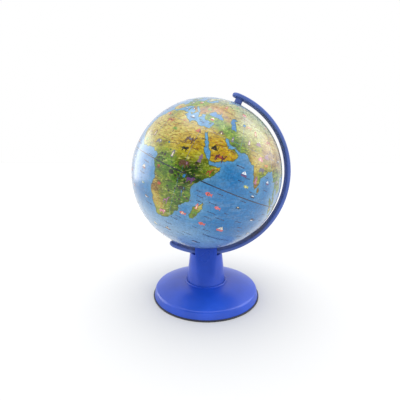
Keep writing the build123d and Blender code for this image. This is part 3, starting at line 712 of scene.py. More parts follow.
def map_triangles():
    """The whole map as triangles in degrees, and which of them are land."""
    points = []
    edges = []
    columns = int(360 / GRID_STEP)
    last_row = int(LAST_ROW_LAT / GRID_STEP)
    rows = [GRID_STEP * k for k in range(-last_row, last_row + 1)]
    for lat in [-TOP_LAT] + rows + [TOP_LAT]:
        first = len(points)
        stride = 1 if abs(lat) < SPARSE_LAT else 2 if abs(lat) < SPARSEST_LAT else 4
        if abs(lat) == TOP_LAT or lat == 0:
            stride = 1
            edges += [(first + k, first + k + 1) for k in range(columns)]
        for k in range(0, columns + 1, stride):
            points.append((SEAM_LON + GRID_STEP * k, lat))
    for ring in LAND_RINGS + WATER_RINGS:
        first = len(points)
        last = first + len(ring) - 1
        points += ring
        edges += [(k, k + 1) for k in range(first, last)] + [(last, first)]
    places, triangles, middles = triangulated(points, edges, MAP_MERGE)
    return places, triangles, on_land(middles)


def plate(directions, triangles, low_r, high_r):
    """The points and faces of a closed plate between two radii, the outer triangles first."""
    sides = set()
    for corners in triangles:
        sides.update(zip(corners, corners[1:] + corners[:1]))
    count = len(directions)
    points = [CENTRE + d * high_r for d in directions] + [CENTRE + d * low_r for d in directions]
    faces = [tuple(corners) for corners in triangles]
    faces += [tuple(c + count for c in reversed(corners)) for corners in triangles]
    faces += [(b, a, a + count, b + count) for a, b in sorted(sides) if (b, a) not in sides]
    return points, faces


def radial_normals(mesh, outside_count):
    """Exact ball normals, so that the light never shows the facets."""
    normals = []
    for k, vertex in enumerate(mesh.vertices):
        out = (vertex.co - CENTRE).normalized()
        normals.append(out if k < outside_count else -out)
    for polygon in mesh.polygons:
        polygon.use_smooth = len(polygon.vertices) == 3
    mesh.normals_split_custom_set_from_vertices(normals)


def ink_corners(mesh, colour_at):
    """The print's colour attribute, filled from a face's number and a corner's vertex."""
    inks = mesh.color_attributes.new("print", "FLOAT_COLOR", "CORNER")
    for k, polygon in enumerate(mesh.polygons):
        for corner in polygon.loop_indices:
            inks.data[corner].color = colour_at(k, mesh.loops[corner].vertex_index)


def printed_shell(name, sign):
    """One half of the ball, split along the coasts, with an ink colour at every corner."""
    index = {}
    directions = []
    places = []
    triangles = []
    lands = []
    for corners, is_land in zip(map_faces, map_land):
        if sum(map_points[c].y for c in corners) * sign < 0:
            continue
        here = []
        for c in corners:
            direction = direction_of(*map_points[c])
            key = tuple(round(v, SAME_PLACE_DIGITS) for v in direction)
            if key not in index:
                index[key] = len(directions)
                directions.append(direction)
                places.append(map_points[c])
            here.append(index[key])
        if len(set(here)) == 3:
            triangles.append(here)
            lands.append(is_land)
    points, faces = plate(directions, triangles, BALL_R - SHELL_WALL, BALL_R)
    piece = link_mesh(name, points, faces)
    found = {}

    def colour_at(face, vertex):
        if face >= len(triangles):
            return INSIDE_COLOUR
        key = (vertex, bool(lands[face]))
        if key not in found:
            found[key] = print_colour(*places[vertex], lands[face])
        return found[key]

    ink_corners(piece.data, colour_at)
    radial_normals(piece.data, len(directions))
    return piece


# ---- print material ----
PRINT_SATURATION = 1.16
PRINT_DARK = 0.5
PRINT_LIGHT = 0.82

# The clear gloss over the print.
LACQUER = {"Specular IOR Level": 0.3, "Coat Weight": 1.0, "Coat Roughness": 0.2}

# The painter's patterns: stretch, scale, detail, roughness, distortion.
PATTERNS = {
    "broad": ((1, 1, 1), 85, 4, 0.6, 0),
    "grain": ((1, 1, 1), 520, 5, 0.65, 0.4),
    "stroke": ((0.7, 0.7, 2.2), 240, 3, 0.6, 1.4),
    "patch": ((1, 1, 1.6), 130, 3, 0.6, 1),
    "current": ((1, 1, 4), 55, 4, 0.6, 0.8),
}

# What is painted over the inks, in order: where, the pattern, where in its range the paint
# starts and is full, the most it covers, its colour, and how it is laid on.
PAINT = [
    ("land", "patch", 0.48, 0.7, 0.8, (0.5, 0.42, 0.3, 1), "MULTIPLY"),
    ("land", "patch", 0.46, 0.28, 0.5, (0.8, 0.78, 0.24, 1), "MIX"),
    ("land", "stroke", 0.56, 0.62, 0.85, (0.45, 0.31, 0.14, 1), "MULTIPLY"),
    ("land", "stroke", 0.42, 0.36, 0.55, (0.86, 0.84, 0.36, 1), "MIX"),
    ("sea", "current", 0.48, 0.8, 0.45, (0.42, 0.6, 0.8, 1), "MIX"),
    ("sea", "broad", 0.35, 0.7, 0.3, (0.5, 0.62, 0.8, 1), "MULTIPLY"),
]


def new_node(tree, kind, inputs, **settings):
    node = tree.nodes.new("ShaderNode" + kind)
    for name, value in settings.items():
        setattr(node, name, value)
    set_inputs(tree, node, inputs)
    return node


def noise(tree, scale, detail=3.0, roughness=0.55, distortion=0.0, stretch=(1, 1, 1)):
    """A noise pattern in the object's own coordinates."""
    place = new_node(tree, "TexCoord", {}).outputs["Object"]
    stretched = new_node(tree, "Mapping", {"Vector": place, "Scale": stretch}).outputs["Vector"]
    inputs = {
        "Vector": stretched,
        "Scale": scale,
        "Detail": detail,
        "Roughness": roughness,
        "Distortion": distortion,
    }
    return new_node(tree, "TexNoise", inputs).outputs["Fac"]


def span(tree, value, from_low, from_high, to_low, to_high):
    """A value moved from one range to another, and held inside it."""
    inputs = {
        "Value": value,
        "From Min": from_low,
        "From Max": from_high,
        "To Min": to_low,
        "To Max": to_high,
    }
    return new_node(tree, "MapRange", inputs).outputs["Result"]


def math_node(tree, operation, a, b):
    return new_node(tree, "Math", {0: a, 1: b}, operation=operation).outputs[0]


def mixed(tree, factor, a, b, blend="MIX"):
    """Two colours mixed. A colour mix takes them at its inputs 6 and 7."""
    inputs = {0: factor, 6: a, 7: b}
    settings = {"data_type": "RGBA", "blend_type": blend, "clamp_factor": True}
    return new_node(tree, "Mix", inputs, **settings).outputs[2]


def bump(tree, height, strength, distance):
    inputs = {"Height": height, "Strength": strength, "Distance": distance}
    return new_node(tree, "Bump", inputs).outputs["Normal"]


def printed_ink(tree):
    """The ink at each corner of a printed piece: its colour, and its share of brush strokes."""
    node = new_node(tree, "Attribute", {}, attribute_name="print")
    return node.outputs["Color"], node.outputs["Alpha"]


def finish_shader(tree, values):
    """The last values and links of a material's shader."""
    set_inputs(tree, tree.nodes["Principled BSDF"], values)


def print_material():
    """The printed map: the ink at each corner, with brush strokes on land and currents at sea."""
    material, tree = new_material("printed_map", LACQUER)
    colour, strokes = printed_ink(tree)
    land = span(tree, strokes, 0.7, 0.9, 0, 1)
    masks = {"land": land, "sea": math_node(tree, "SUBTRACT", 1.0, land)}
    patterns = {name: noise(tree, *values, stretch) for name, (stretch, *values) in PATTERNS.items()}
    for where, pattern, start, full, most, paint, blend in PAINT:
        amount = span(tree, patterns[pattern], start, full, 0, most)
        cover = math_node(tree, "MULTIPLY", amount, masks[where])
        colour = mixed(tree, cover, colour, paint, blend)
    grain = patterns["grain"]
    value = span(tree, grain, 0.35, 0.65, PRINT_DARK, PRINT_LIGHT)
    tone_inputs = {"Color": colour, "Saturation": PRINT_SATURATION, "Value": value}
    finish_shader(tree, {
        "Base Color": new_node(tree, "HueSaturation", tone_inputs).outputs["Color"],
        "Roughness": span(tree, grain, 0.3, 0.7, 0.28, 0.38),
        "Normal": bump(tree, grain, 0.04, 0.0002),
    })
    return material


map_points, map_faces, map_land = map_triangles()
printed_map = print_material()
for shell_name, sign, node_name in (
    ("north_map_shell", 1, "north_hemisphere"),
    ("south_map_shell", -1, "south_hemisphere"),
):
    shell = printed_shell(shell_name, sign)
    shell.data.materials.append(printed_map)
    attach(shell, "globe")
    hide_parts(node_name)


# ---- lines, strokes and small pictures printed on the ball ----
LAYER = 0.05 * MM
DECAL_LOW = BALL_R - 0.08 * MM

# Wide outlines get inner points this far apart in mm, set a little off so that none of them
# lies on a side, and then they follow the ball.
INNER_STEP = 1.4
INNER_OFFSET = (0.013, 0.017)
OUTLINE_MERGE = 1e-5

# The dashes that stand for words and the gaps between them, in mm.
SHORTEST_DASH = 0.7
LONGEST_DASH = 2.0
SHORTEST_GAP = 0.3
LONGEST_GAP = 0.6

# Each picture is drawn in a square from -1 to 1, as outlines in its first or second ink.
PICTURES = {
    "camel": [
        (0, [(-1, -0.8), (-0.9, 0), (-1, 0.2), (-0.65, 0.3), (-0.4, 0.7), (-0.15, 0.3),
             (0.05, 0.3), (0.3, 0.7), (0.5, 0.25), (0.7, 0.2), (0.8, 0.75), (1.15, 0.8),
             (1.2, 0.6), (0.98, 0.55), (0.9, 0), (0.6, -0.15), (0.6, -0.85), (0.42, -0.85),
             (0.35, -0.15), (-0.5, -0.15), (-0.6, -0.85), (-0.78, -0.85), (-0.8, -0.2),
             (-0.88, -0.8)]),
        (1, [(-0.3, 0.3), (0.2, 0.3), (0.25, -0.05), (-0.35, -0.05)]),
    ],
    "elephant": [
        (0, [(-1, -0.6), (-1, 0.1), (-0.85, 0.5), (-0.4, 0.7), (0.2, 0.65), (0.45, 0.8),
             (0.8, 0.7), (1, 0.3), (1.02, -0.3), (0.9, -0.5), (0.85, -0.1), (0.7, 0.05),
             (0.55, -0.1), (0.55, -0.7), (0.25, -0.7), (0.25, -0.25), (-0.4, -0.25),
             (-0.45, -0.7), (-0.75, -0.7), (-0.78, -0.2), (-0.9, -0.6)]),
        (1, [(0.25, 0.6), (0.6, 0.5), (0.58, 0.1), (0.35, 0.05)]),
    ],
    "giraffe": [
        (0, [(-0.6, -1), (-0.55, -0.1), (-0.5, 0.1), (0.1, 0.2), (0.45, 0.95), (0.75, 1),
             (0.95, 0.8), (0.62, 0.78), (0.4, 0), (0.35, -1), (0.2, -1), (0.12, -0.25),
             (-0.35, -0.25), (-0.45, -1)]),
        (1, [(-0.4, -0.1), (-0.15, 0.1), (0, -0.1), (-0.2, -0.2)]),
        (1, [(0.25, 0.3), (0.42, 0.55), (0.4, 0.25)]),
    ],
    "lion": [
        (0, [(-1, -0.1), (-0.9, 0.35), (-0.4, 0.45), (0.1, 0.4), (0.35, 0.75), (0.75, 0.8),
             (1, 0.5), (0.95, 0.2), (0.7, 0.05), (0.6, -0.2), (0.6, -0.8), (0.38, -0.8),
             (0.3, -0.25), (-0.35, -0.2), (-0.5, -0.8), (-0.75, -0.8), (-0.7, -0.2),
             (-0.85, -0.1), (-1.2, -0.45)]),
        (1, [(0.55, 0.6), (0.85, 0.6), (0.85, 0.3), (0.6, 0.25)]),
    ],
    "bear": [
        (0, [(-1, -0.7), (-1, 0.1), (-0.7, 0.5), (-0.1, 0.5), (0.35, 0.45), (0.6, 0.65),
             (0.75, 0.45), (1.05, 0.2), (0.95, 0.05), (0.7, 0), (0.6, -0.2), (0.6, -0.7),
             (0.3, -0.7), (0.25, -0.3), (-0.4, -0.3), (-0.5, -0.7)]),
        (1, [(-0.6, 0.3), (0.1, 0.3), (0, -0.1), (-0.6, -0.1)]),
    ],
    "kangaroo": [
        (0, [(-1.1, -0.85), (-0.4, -0.75), (-0.05, -0.95), (0.45, -0.95), (0.45, -0.82),
             (0.15, -0.75), (0.3, -0.3), (0.25, 0.1), (0.5, -0.1), (0.6, 0), (0.3, 0.35),
             (0.4, 0.6), (0.75, 0.55), (0.8, 0.7), (0.5, 0.9), (0.4, 1.1), (0.3, 0.9),
             (0.1, 0.5), (-0.3, 0.15), (-0.5, -0.3), (-0.6, -0.6)]),
        (1, [(-0.2, 0), (0.1, 0.2), (0.15, -0.3), (-0.1, -0.5)]),
    ],
    "llama": [
        (0, [(-0.9, -1), (-0.85, -0.05), (-0.7, 0.25), (0.2, 0.2), (0.4, 0.8), (0.42, 1.05),
             (0.52, 0.9), (0.85, 0.85), (0.85, 0.7), (0.6, 0.65), (0.5, 0), (0.4, -0.3),
             (0.4, -1), (0.22, -1), (0.15, -0.3), (-0.5, -0.3), (-0.6, -1)]),
        (1, [(-0.5, 0.18), (0.05, 0.18), (0.1, -0.15), (-0.5, -0.15)]),
    ],
    "penguin": [
        (0, [(-0.2, -0.9), (0.3, -0.9), (0.45, -0.3), (0.4, 0.4), (0.2, 0.9), (-0.1, 1),
             (-0.3, 0.8), (-0.55, 0.7), (-0.3, 0.6), (-0.4, 0.1), (-0.5, -0.4)]),
        (1, [(-0.2, -0.75), (0.1, -0.75), (0.15, 0.2), (-0.1, 0.4), (-0.3, 0.1)]),
    ],
    "figure": [
        (0, [(-0.5, -1), (0.5, -1), (0.25, -0.1), (0.55, 0.2), (0.25, 0.5), (0.22, 0.85),
             (0, 1.05), (-0.22, 0.85), (-0.25, 0.5), (-0.55, 0.2), (-0.25, -0.1)]),
        (1, [(-0.15, -0.8), (0.2, -0.8), (0.12, 0.35), (-0.12, 0.35)]),
    ],
    "whale": [
        (0, [(-1, 0.1), (-0.7, 0.45), (0, 0.5), (0.55, 0.2), (0.75, 0.15), (1, 0.55),
             (1.05, 0.1), (0.95, -0.1), (0.7, -0.02), (0.3, -0.3), (-0.5, -0.4),
             (-0.95, -0.2)]),
        (1, [(-0.85, -0.1), (0.3, -0.1), (0.1, -0.25), (-0.6, -0.3)]),
    ],
    "fish": [
        (0, [(-1, 0), (-0.6, 0.4), (0, 0.5), (0.45, 0.15), (0.9, 0.5), (0.8, 0), (0.9, -0.5),
             (0.45, -0.15), (0, -0.5), (-0.6, -0.4)]),
        (1, [(-0.35, 0.35), (-0.1, 0.38), (-0.1, -0.38), (-0.35, -0.35)]),
        (1, [(0.15, 0.2), (0.4, 0.05), (0.15, -0.2)]),
    ],
    "turtle": [
        (0, [(-0.6, 0.1), (-0.35, 0.5), (0.2, 0.55), (0.55, 0.2), (0.95, 0.3), (1.05, 0.1),
             (0.6, -0.05), (0.7, -0.4), (0.5, -0.4), (0.35, -0.15), (-0.3, -0.15),
             (-0.5, -0.45), (-0.7, -0.4), (-0.55, -0.05), (-0.85, -0.1)]),
        (1, [(-0.3, 0.35), (0, 0.45), (0.25, 0.25), (0, 0.1), (-0.3, 0.1)]),
    ],
    "ship": [
        (0, [(-1, -0.15), (1, -0.05), (0.75, -0.6), (-0.7, -0.6)]),
        (1, [(-0.05, 0), (-0.05, 0.95), (0.7, 0.1)]),
        (1, [(-0.2, 0), (-0.2, 0.75), (-0.8, 0.05)]),
    ],
    "steamer": [
        (0, [(-1, -0.1), (1.05, -0.1), (0.8, -0.55), (-0.85, -0.55)]),
        (1, [(-0.6, -0.05), (-0.6, 0.25), (0.4, 0.25), (0.4, -0.05)]),
        (0, [(-0.3, 0.3), (-0.3, 0.75), (0, 0.75), (0, 0.3)]),
    ],
    "palm": [
        (1, [(-0.12, -1), (0.12, -1), (0.1, 0.1), (-0.02, 0.1)]),
        (0, [(0, 0.2), (-0.55, -0.15), (-0.9, 0.1), (-0.5, 0.3), (-0.8, 0.7), (-0.2, 0.55),
             (0.1, 1), (0.3, 0.5), (0.85, 0.65), (0.55, 0.3), (0.95, 0.05), (0.5, -0.1)]),
    ],
    "tree": [
        (1, [(-0.12, -1), (0.12, -1), (0.1, -0.35), (-0.1, -0.35)]),
        (0, [(-0.6, -0.28), (0.6, -0.25), (0.85, 0.2), (0.55, 0.75), (0, 0.95),
             (-0.55, 0.75), (-0.85, 0.2)]),
    ],
    "pine": [
        (0, [(0, 1), (-0.45, 0.3), (-0.25, 0.3), (-0.65, -0.4), (-0.12, -0.4), (-0.12, -0.9),
             (0.12, -0.9), (0.12, -0.4), (0.65, -0.4), (0.25, 0.3), (0.45, 0.3)]),
    ],
    "mountain": [
        (0, [(-1, -0.6), (-0.35, 0.6), (-0.1, 0.2), (0.3, 0.9), (1, -0.6)]),
        (1, [(0.1, 0.52), (0.3, 0.86), (0.46, 0.5), (0.3, 0.62)]),
        (1, [(-0.52, 0.25), (-0.35, 0.56), (-0.22, 0.35), (-0.35, 0.38)]),
    ],
    "house": [
        (0, [(-0.7, -0.8), (0.7, -0.8), (0.7, 0.1), (-0.7, 0.1)]),
        (1, [(-0.9, 0.15), (0.9, 0.15), (0, 0.85)]),
    ],
    "tower": [
        (0, [(-0.45, -1), (0.45, -1), (0.3, 0.5), (0.45, 0.5), (0, 1.1), (-0.45, 0.5),
             (-0.3, 0.5)]),
        (1, [(-0.12, -0.2), (0.12, -0.2), (0.12, 0.25), (-0.12, 0.25)]),
    ],
    "dome": [
        (0, [(-0.8, -0.8), (0.8, -0.8), (0.8, -0.05), (0.5, -0.05), (0.42, 0.35), (0, 0.65),
             (-0.42, 0.35), (-0.5, -0.05), (-0.8, -0.05)]),
        (1, [(-0.18, -0.8), (0.18, -0.8), (0.18, -0.25), (0, -0.05), (-0.18, -0.25)]),
        (0, [(0.95, -0.8), (1.1, -0.8), (1.1, 0.55), (1.02, 0.75), (0.95, 0.55)]),
    ],
    "pyramid": [
        (0, [(-1, -0.6), (1, -0.6), (0, 0.8)]),
        (1, [(0.3, -0.55), (0.88, -0.55), (0.05, 0.62)]),
    ],
    "cactus": [
        (0, [(-0.15, -1), (0.15, -1), (0.15, -0.3), (0.6, -0.2), (0.6, 0.4), (0.4, 0.4),
             (0.4, 0), (0.15, 0), (0.15, 0.9), (-0.15, 0.9), (-0.15, 0.1), (-0.4, 0.1),
             (-0.4, 0.6), (-0.6, 0.6), (-0.6, -0.1), (-0.15, -0.15)]),
    ],
    "dune": [(0, [(-1, -0.1), (-0.3, 0.3), (0.5, 0.28), (1, -0.15), (0.4, 0.05), (-0.3, 0.05)])],
    "tuft": [(0, [(-0.6, -0.5), (0.6, -0.5), (0.8, 0.4), (0.3, -0.2), (0, 0.7), (-0.3, -0.2),
                  (-0.8, 0.4)])],
}

# The larger pictures: which, longitude, latitude, half size in mm, first ink, second ink.
LAND_PICTURES = [
    ("camel", 49, 17, 4.4, "maroon", "rust"), ("dome", 43.5, 21.5, 3, "night", "umber"),
    ("pyramid", 29, 27.5, 3, "rust", "umber"), ("camel", 27, 20, 4.4, "umber", "slate"),
    ("lion", 26.5, 13.5, 3, "night", "umber"), ("figure", 20.5, 8, 3.2, "slate", "cream"),
    ("elephant", 30, 5, 4.4, "umber", "mauve"), ("figure", 38, 12, 3.6, "mauve", "slate"),
    ("giraffe", 46, 7, 3.2, "rust", "umber"), ("lion", 37, -2, 3.6, "plum", "umber"),
    ("elephant", 34, -9, 3, "night", "teal"), ("giraffe", 25.5, -20.5, 4, "mauve", "pink"),
    ("lion", 24, -30, 3.2, "pink", "cream"), ("figure", 46.5, -15.5, 2.8, "coral", "cream"),
    ("palm", 47, -21, 2.6, "jungle", "umber"), ("camel", 3, 27, 3.6, "rust", "umber"),
    ("palm", 12, 22, 3, "jungle", "umber"), ("dome", -6, 31.8, 2.6, "rust", "cream"),
    ("figure", -2, 15, 3, "maroon", "cream"), ("elephant", 6, 11, 3, "slate", "cream"),
    ("house", 14, -3, 2.2, "umber", "rust"), ("tree", 24, -3, 3, "night", "umber"),
    ("house", 18, -12, 2.4, "rust", "umber"), ("tree", -8, 8.5, 2.4, "jungle", "umber"),
    ("dome", 14.5, 31, 2.2, "farmland", "rust"), ("tower", 53, 31, 2.6, "slate", "cream"),
    ("dome", 44, 32.5, 2.4, "umber", "cream"), ("house", 33, 39, 2.2, "rust", "cream"),
    ("figure", 66, 34, 2.6, "mauve", "cream"), ("figure", 76.8, 13, 3.6, "mauve", "pink"),
    ("elephant", 80, 20, 3.2, "slate", "mauve"), ("dome", 77.5, 27, 2.8, "pink", "cream"),
    ("lion", 84, 24, 2.6, "outback", "night"), ("mountain", 84, 30, 3.4, "mauve", "ice"),
    ("mountain", 75, 36, 3.2, "mauve", "ice"), ("camel", 65, 45, 3.2, "farmland", "pink"),
    ("figure", 72, 43, 2.6, "rust", "cream"), ("house", 60, 56, 2.4, "pink", "rust"),
    ("tower", 37.6, 55.7, 3, "rust", "cream"), ("pine", 50, 62, 3, "jungle", "umber"),
    ("bear", 63, 65, 2.8, "umber", "cream"), ("tower", 2.3, 48, 2.6, "slate", "cream"),
    ("house", 10, 51, 2.2, "rust", "cream"), ("dome", 12.3, 42.6, 2, "maroon", "cream"),
    ("pine", 15.5, 62, 2.6, "jungle", "umber"), ("bear", 27, 65, 2.4, "umber", "cream"),
    ("tree", 25, 46, 2.4, "jungle", "umber"), ("house", -4, 40, 2.2, "rust", "umber"),
    ("tower", -1.5, 52.2, 2, "slate", "cream"), ("figure", 104, 46, 2.8, "maroon", "cream"),
    ("tower", 116, 40, 2.8, "rust", "cream"), ("bear", 103, 31, 2.8, "night", "ice"),
    ("dome", 113, 34, 2.4, "maroon", "cream"), ("figure", 112, 26, 2.6, "rust", "cream"),
    ("elephant", 101, 16.5, 3, "slate", "cream"), ("palm", 106, 12.5, 2.2, "jungle", "umber"),
    ("palm", 114, 0, 2.8, "dark_jungle", "umber"), ("figure", 102, -1.5, 2, "rust", "cream"),
    ("mountain", 138.4, 36, 2.2, "slate", "ice"), ("tower", 127.3, 37.3, 2, "maroon", "cream"),
    ("bear", 128, 60, 3.8, "umber", "rust"), ("pine", 100, 62, 3.4, "jungle", "umber"),
    ("pine", 84, 60, 3, "dark_jungle", "umber"), ("pine", 116, 66, 3, "jungle", "umber"),
    ("bear", 150, 66, 3.2, "rust", "umber"), ("mountain", 160, 57, 2.2, "slate", "coral"),
    ("house", 94, 55, 2.4, "rust", "cream"), ("camel", 88, 41, 3, "rust", "umber"),
    ("palm", 141, -5, 2.6, "dark_jungle", "umber"), ("kangaroo", 134, -24, 4.4, "rust", "cream"),
    ("kangaroo", 121, -28, 3.2, "umber", "cream"), ("tree", 147, -32, 2.6, "jungle", "umber"),
    ("mountain", 129, -20, 2.6, "rust", "coral"), ("palm", 145, -19, 2.2, "jungle", "umber"),
    ("house", 148, -27, 2.2, "maroon", "cream"), ("mountain", 170.3, -44, 1.8, "slate", "ice"),
    ("bear", -150, 65, 3.6, "umber", "rust"), ("pine", -125, 57, 2.8, "dark_jungle", "umber"),
    ("pine", -105, 57, 2.8, "jungle", "umber"), ("bear", -93, 64.5, 2.8, "ice", "slate"),
    ("mountain", -116, 50, 3.4, "slate", "ice"), ("mountain", -107, 40, 3.2, "umber", "ice"),
    ("bear", -99, 46, 3, "umber", "night"), ("cactus", -111, 33, 2.6, "jungle", "umber"),
    ("tower", -75, 41.8, 2.6, "slate", "cream"), ("house", -90, 41, 2.4, "rust", "cream"),
    ("tree", -84, 36, 2.6, "jungle", "umber"), ("lion", -99, 35, 2.4, "rust", "cream"),
    ("palm", -81.6, 28, 1.8, "jungle", "umber"), ("cactus", -103, 25, 2.6, "dark_jungle", "umber"),
    ("pyramid", -91, 16.8, 2.2, "farmland", "umber"), ("house", -72, 50, 2.2, "rust", "ice"),
    ("palm", -60, -2, 3, "dark_jungle", "umber"), ("tree", -67, -5, 2.8, "dark_jungle", "umber"),
    ("tree", -53, -6, 2.8, "jungle", "umber"), ("lion", -59, -12.5, 2.8, "outback", "night"),
    ("llama", -69, -17, 3.2, "cream", "rust"), ("mountain", -70, -31, 2.6, "slate", "ice"),
    ("figure", -64, -23, 2.8, "maroon", "cream"), ("house", -46, -16, 2.4, "rust", "cream"),
    ("palm", -41, -9, 2.4, "jungle", "umber"), ("lion", -63, -35, 2.8, "umber", "cream"),
    ("llama", -70, -43, 2.4, "rust", "cream"), ("pyramid", -74, -11, 2, "farmland", "umber"),
    ("bear", -42, 74, 3, "cream", "slate"), ("penguin", 0, -76, 3, "night", "ice"),
    ("penguin", 60, -73, 3, "night", "ice"), ("penguin", 118, -74, 3.2, "night", "ice"),
    ("penguin", -120, -79, 3, "night", "ice"), ("penguin", -68, -77, 3, "night", "ice"),
    ("mountain", 90, -78, 3, "slate", "ice"), ("mountain", 20, -81, 3, "slate", "ice"),
]
SEA_PICTURES = [
    ("fish", 39.5, -24, 3.2, "coral", "cream"), ("fish", 54.5, -26, 3.4, "coral", "rust"),
    ("fish", 50.5, -5.5, 3.4, "coral", "maroon"), ("fish", 59, -11.5, 3, "coral", "pink"),
    ("turtle", 71.5, -7, 2.6, "night", "cream"), ("ship", 69, -25.5, 3.8, "coral", "cream"),
    ("fish", 71, 7, 2.6, "savanna", "cream"), ("ship", 67, 13.5, 3.2, "plum", "ice"),
    ("steamer", 78.5, 3, 2.6, "navy", "ice"), ("ship", 18, 35, 2, "navy", "ice"),
    ("ship", 88, 14, 2.4, "plum", "ice"), ("whale", 89, -12, 3.4, "navy", "ice"),
    ("whale", 8, -26, 3, "slate", "ice"), ("ship", 1, -8, 2.8, "maroon", "cream"),
    ("fish", 3, -18, 2.4, "teal", "cream"), ("whale", 60, -47, 4, "navy", "ice"),
    ("steamer", 30, -44, 3.2, "maroon", "cream"), ("steamer", 5, 40.5, 1.6, "navy", "ice"),
]


def on_map(lon, lat, east, north):
    """The direction that lies some millimetres east and north of a place on the map."""
    out = direction_of(lon, lat)
    east_way = POLE.cross(out).normalized()
    north_way = out.cross(east_way)
    return (out + (east_way * east + north_way * north) * MM / BALL_R).normalized()


def ink_material():
    """Ink with a slightly uneven lay, under the ball's lacquer."""
    material, tree = new_material("printed_ink", LACQUER)
    grain = noise(tree, 1500, 3, 0.6)
    wear = span(tree, grain, 0.5, 0.75, 0, 0.2)
    finish_shader(tree, {
        "Base Color": mixed(tree, wear, printed_ink(tree)[0], (0.6, 0.6, 0.55, 1)),
        "Roughness": span(tree, grain, 0.3, 0.7, 0.26, 0.36),
    })
    return material


ink_layer = ink_material()
chance = random.Random(11)


class Print:
    """Many small closed plates on the ball, gathered into one piece with an ink per plate."""

    def __init__(self):
        self.points = []
        self.faces = []
        self.inks = []

    def add(self, directions, triangles, ink, layer=1):
        points, faces = plate(directions, triangles, DECAL_LOW, BALL_R + layer * LAYER)
        first = len(self.points)
        self.points += points
        self.faces += [tuple(c + first for c in face) for face in faces]
        self.inks += [(*LINEAR[ink], 1)] * len(faces)

    def add_outline(self, outline, lon, lat, ink, layer=1):
        """A flat outline in millimetres, laid on the ball with its up side to the north."""
        reach = int(max(abs(v) for point in outline for v in point) / INNER_STEP)
        inner = [
            (i * INNER_STEP + INNER_OFFSET[0], j * INNER_STEP + INNER_OFFSET[1])
            for i in range(-reach, reach + 1)
            for j in range(-reach, reach + 1)
        ]
        kept = [spot for spot, hit in zip(inner, inside(outline, inner)) if hit]
        edges = [(k, (k + 1) % len(outline)) for k in range(len(outline))]
        places, triangles, middles = triangulated(outline + kept, edges, OUTLINE_MERGE)
        shape = [t for t, hit in zip(triangles, inside(outline, middles)) if hit]
        used = sorted({c for t in shape for c in t})
        index = {c: k for k, c in enumerate(used)}
        directions = [on_map(lon, lat, *places[c]) for c in used]
        self.add(directions, [[index[c] for c in t] for t in shape], ink, layer)

    def picture(self, name, lon, lat, size, *inks):
        for tone, outline in PICTURES[name]:
            placed = [(size * x, size * y) for x, y in outline]
            self.add_outline(placed, lon, lat, inks[tone], 1 + tone)

    def line(self, path, half_width, ink, closed=False):
        """A thin closed ribbon along a path of directions on the ball, half_width in mm."""
        count = len(path)
        edge = []
        for k, here in enumerate(path):
            before = path[k - 1] if closed or k > 0 else here
            after = path[(k + 1) % count] if closed or k < count - 1 else here
            side = here.cross(after - before).normalized() * (half_width * MM / BALL_R)
            edge += [(here - side).normalized(), (here + side).normalized()]
        triangles = []
        for k in range(count if closed else count - 1):
            a, b = 2 * k, 2 * ((k + 1) % count)
            triangles += [[a, b, b + 1], [a, b + 1, a + 1]]
        self.add(edge, triangles, ink)

    def dash(self, lon, lat, along, length, thick, ink):
        """A short plain stroke along the parallel, some millimetres east of its place."""
        ends = (along, along + length)
        corners = [(ends[0], -thick), (ends[1], -thick), (ends[1], thick), (ends[0], thick)]
        directions = [on_map(lon, lat, x, y / 2) for x, y in corners]
        self.add(directions, [[0, 1, 2], [0, 2, 3]], ink)

    def words(self, lon, lat, length, thick, ink):
        """A row of plain dashes where the print has a name."""
        along = -length / 2
        while along < length / 2:
            left = length / 2 - along + SHORTEST_GAP
            stroke = min(chance.uniform(SHORTEST_DASH, LONGEST_DASH), left)
            self.dash(lon, lat, along, stroke, thick, ink)
            along += stroke + chance.uniform(SHORTEST_GAP, LONGEST_GAP)

    def make(self, name):
        piece = link_mesh(name, self.points, self.faces, smooth=False)
        ink_corners(piece.data, lambda face, vertex: self.inks[face])
        radial_normals(piece.data, len(self.points))
        piece.data.materials.append(ink_layer)
        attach(piece, "globe")


def coast_paths():
    """The borders between land and sea, chained into loops with the land on the left."""
    owner = {}
    for corners, is_land in zip(map_faces, map_land):
        for a, b in zip(corners, corners[1:] + corners[:1]):
            owner[(a, b)] = bool(is_land)
    following = {}
    for (a, b), is_land in owner.items():
        if is_land and owner.get((b, a)) is False:
            following.setdefault(a, []).append(b)
    paths = []
    while following:
        start = next(iter(following))
        path = [start]
        here = following[start].pop()
        while here != start and following.get(here):
            path.append(here)
            here = following[here].pop()
        for spot in path:
            if spot in following and not following[spot]:
                del following[spot]
        if len(path) > 2:
            paths.append((path, here == start))
    return paths


# Half the width of each line in mm, and where the lines of the grid lie in degrees.
EQUATOR_HALF = 0.42
GRID_HALF = 0.05
DASHED_HALF = 0.06
COAST_HALF = 0.24
MERIDIAN_GAP = 30
MERIDIAN_TOP = 80
PARALLELS = (-60, -30, 30, 60)
TROPICS_AND_CIRCLES = (-66.5, -23.5, 23.5, 66.5)


def parallel(lat, step):
    """The whole circle of a latitude."""
    return [direction_of(step * k, lat) for k in range(round(360 / step))]


equator = Print()
equator.line(parallel(0, 2.5), EQUATOR_HALF, "equator", closed=True)
equator.make("equator_line")

net = Print()
for lon in range(-180, 180, MERIDIAN_GAP):
    meridian = [direction_of(lon, lat) for lat in range(-MERIDIAN_TOP, MERIDIAN_TOP + 1, 2)]
    net.line(meridian, GRID_HALF, "deep")
for lat in PARALLELS:
    net.line(parallel(lat, 3), GRID_HALF, "deep", closed=True)
for lat in TROPICS_AND_CIRCLES:
    for west in range(0, 360, 4):
        dash = [direction_of(west + part, lat) for part in (0, 1, 2)]
        net.line(dash, DASHED_HALF, "slate")
net.make("graticule")

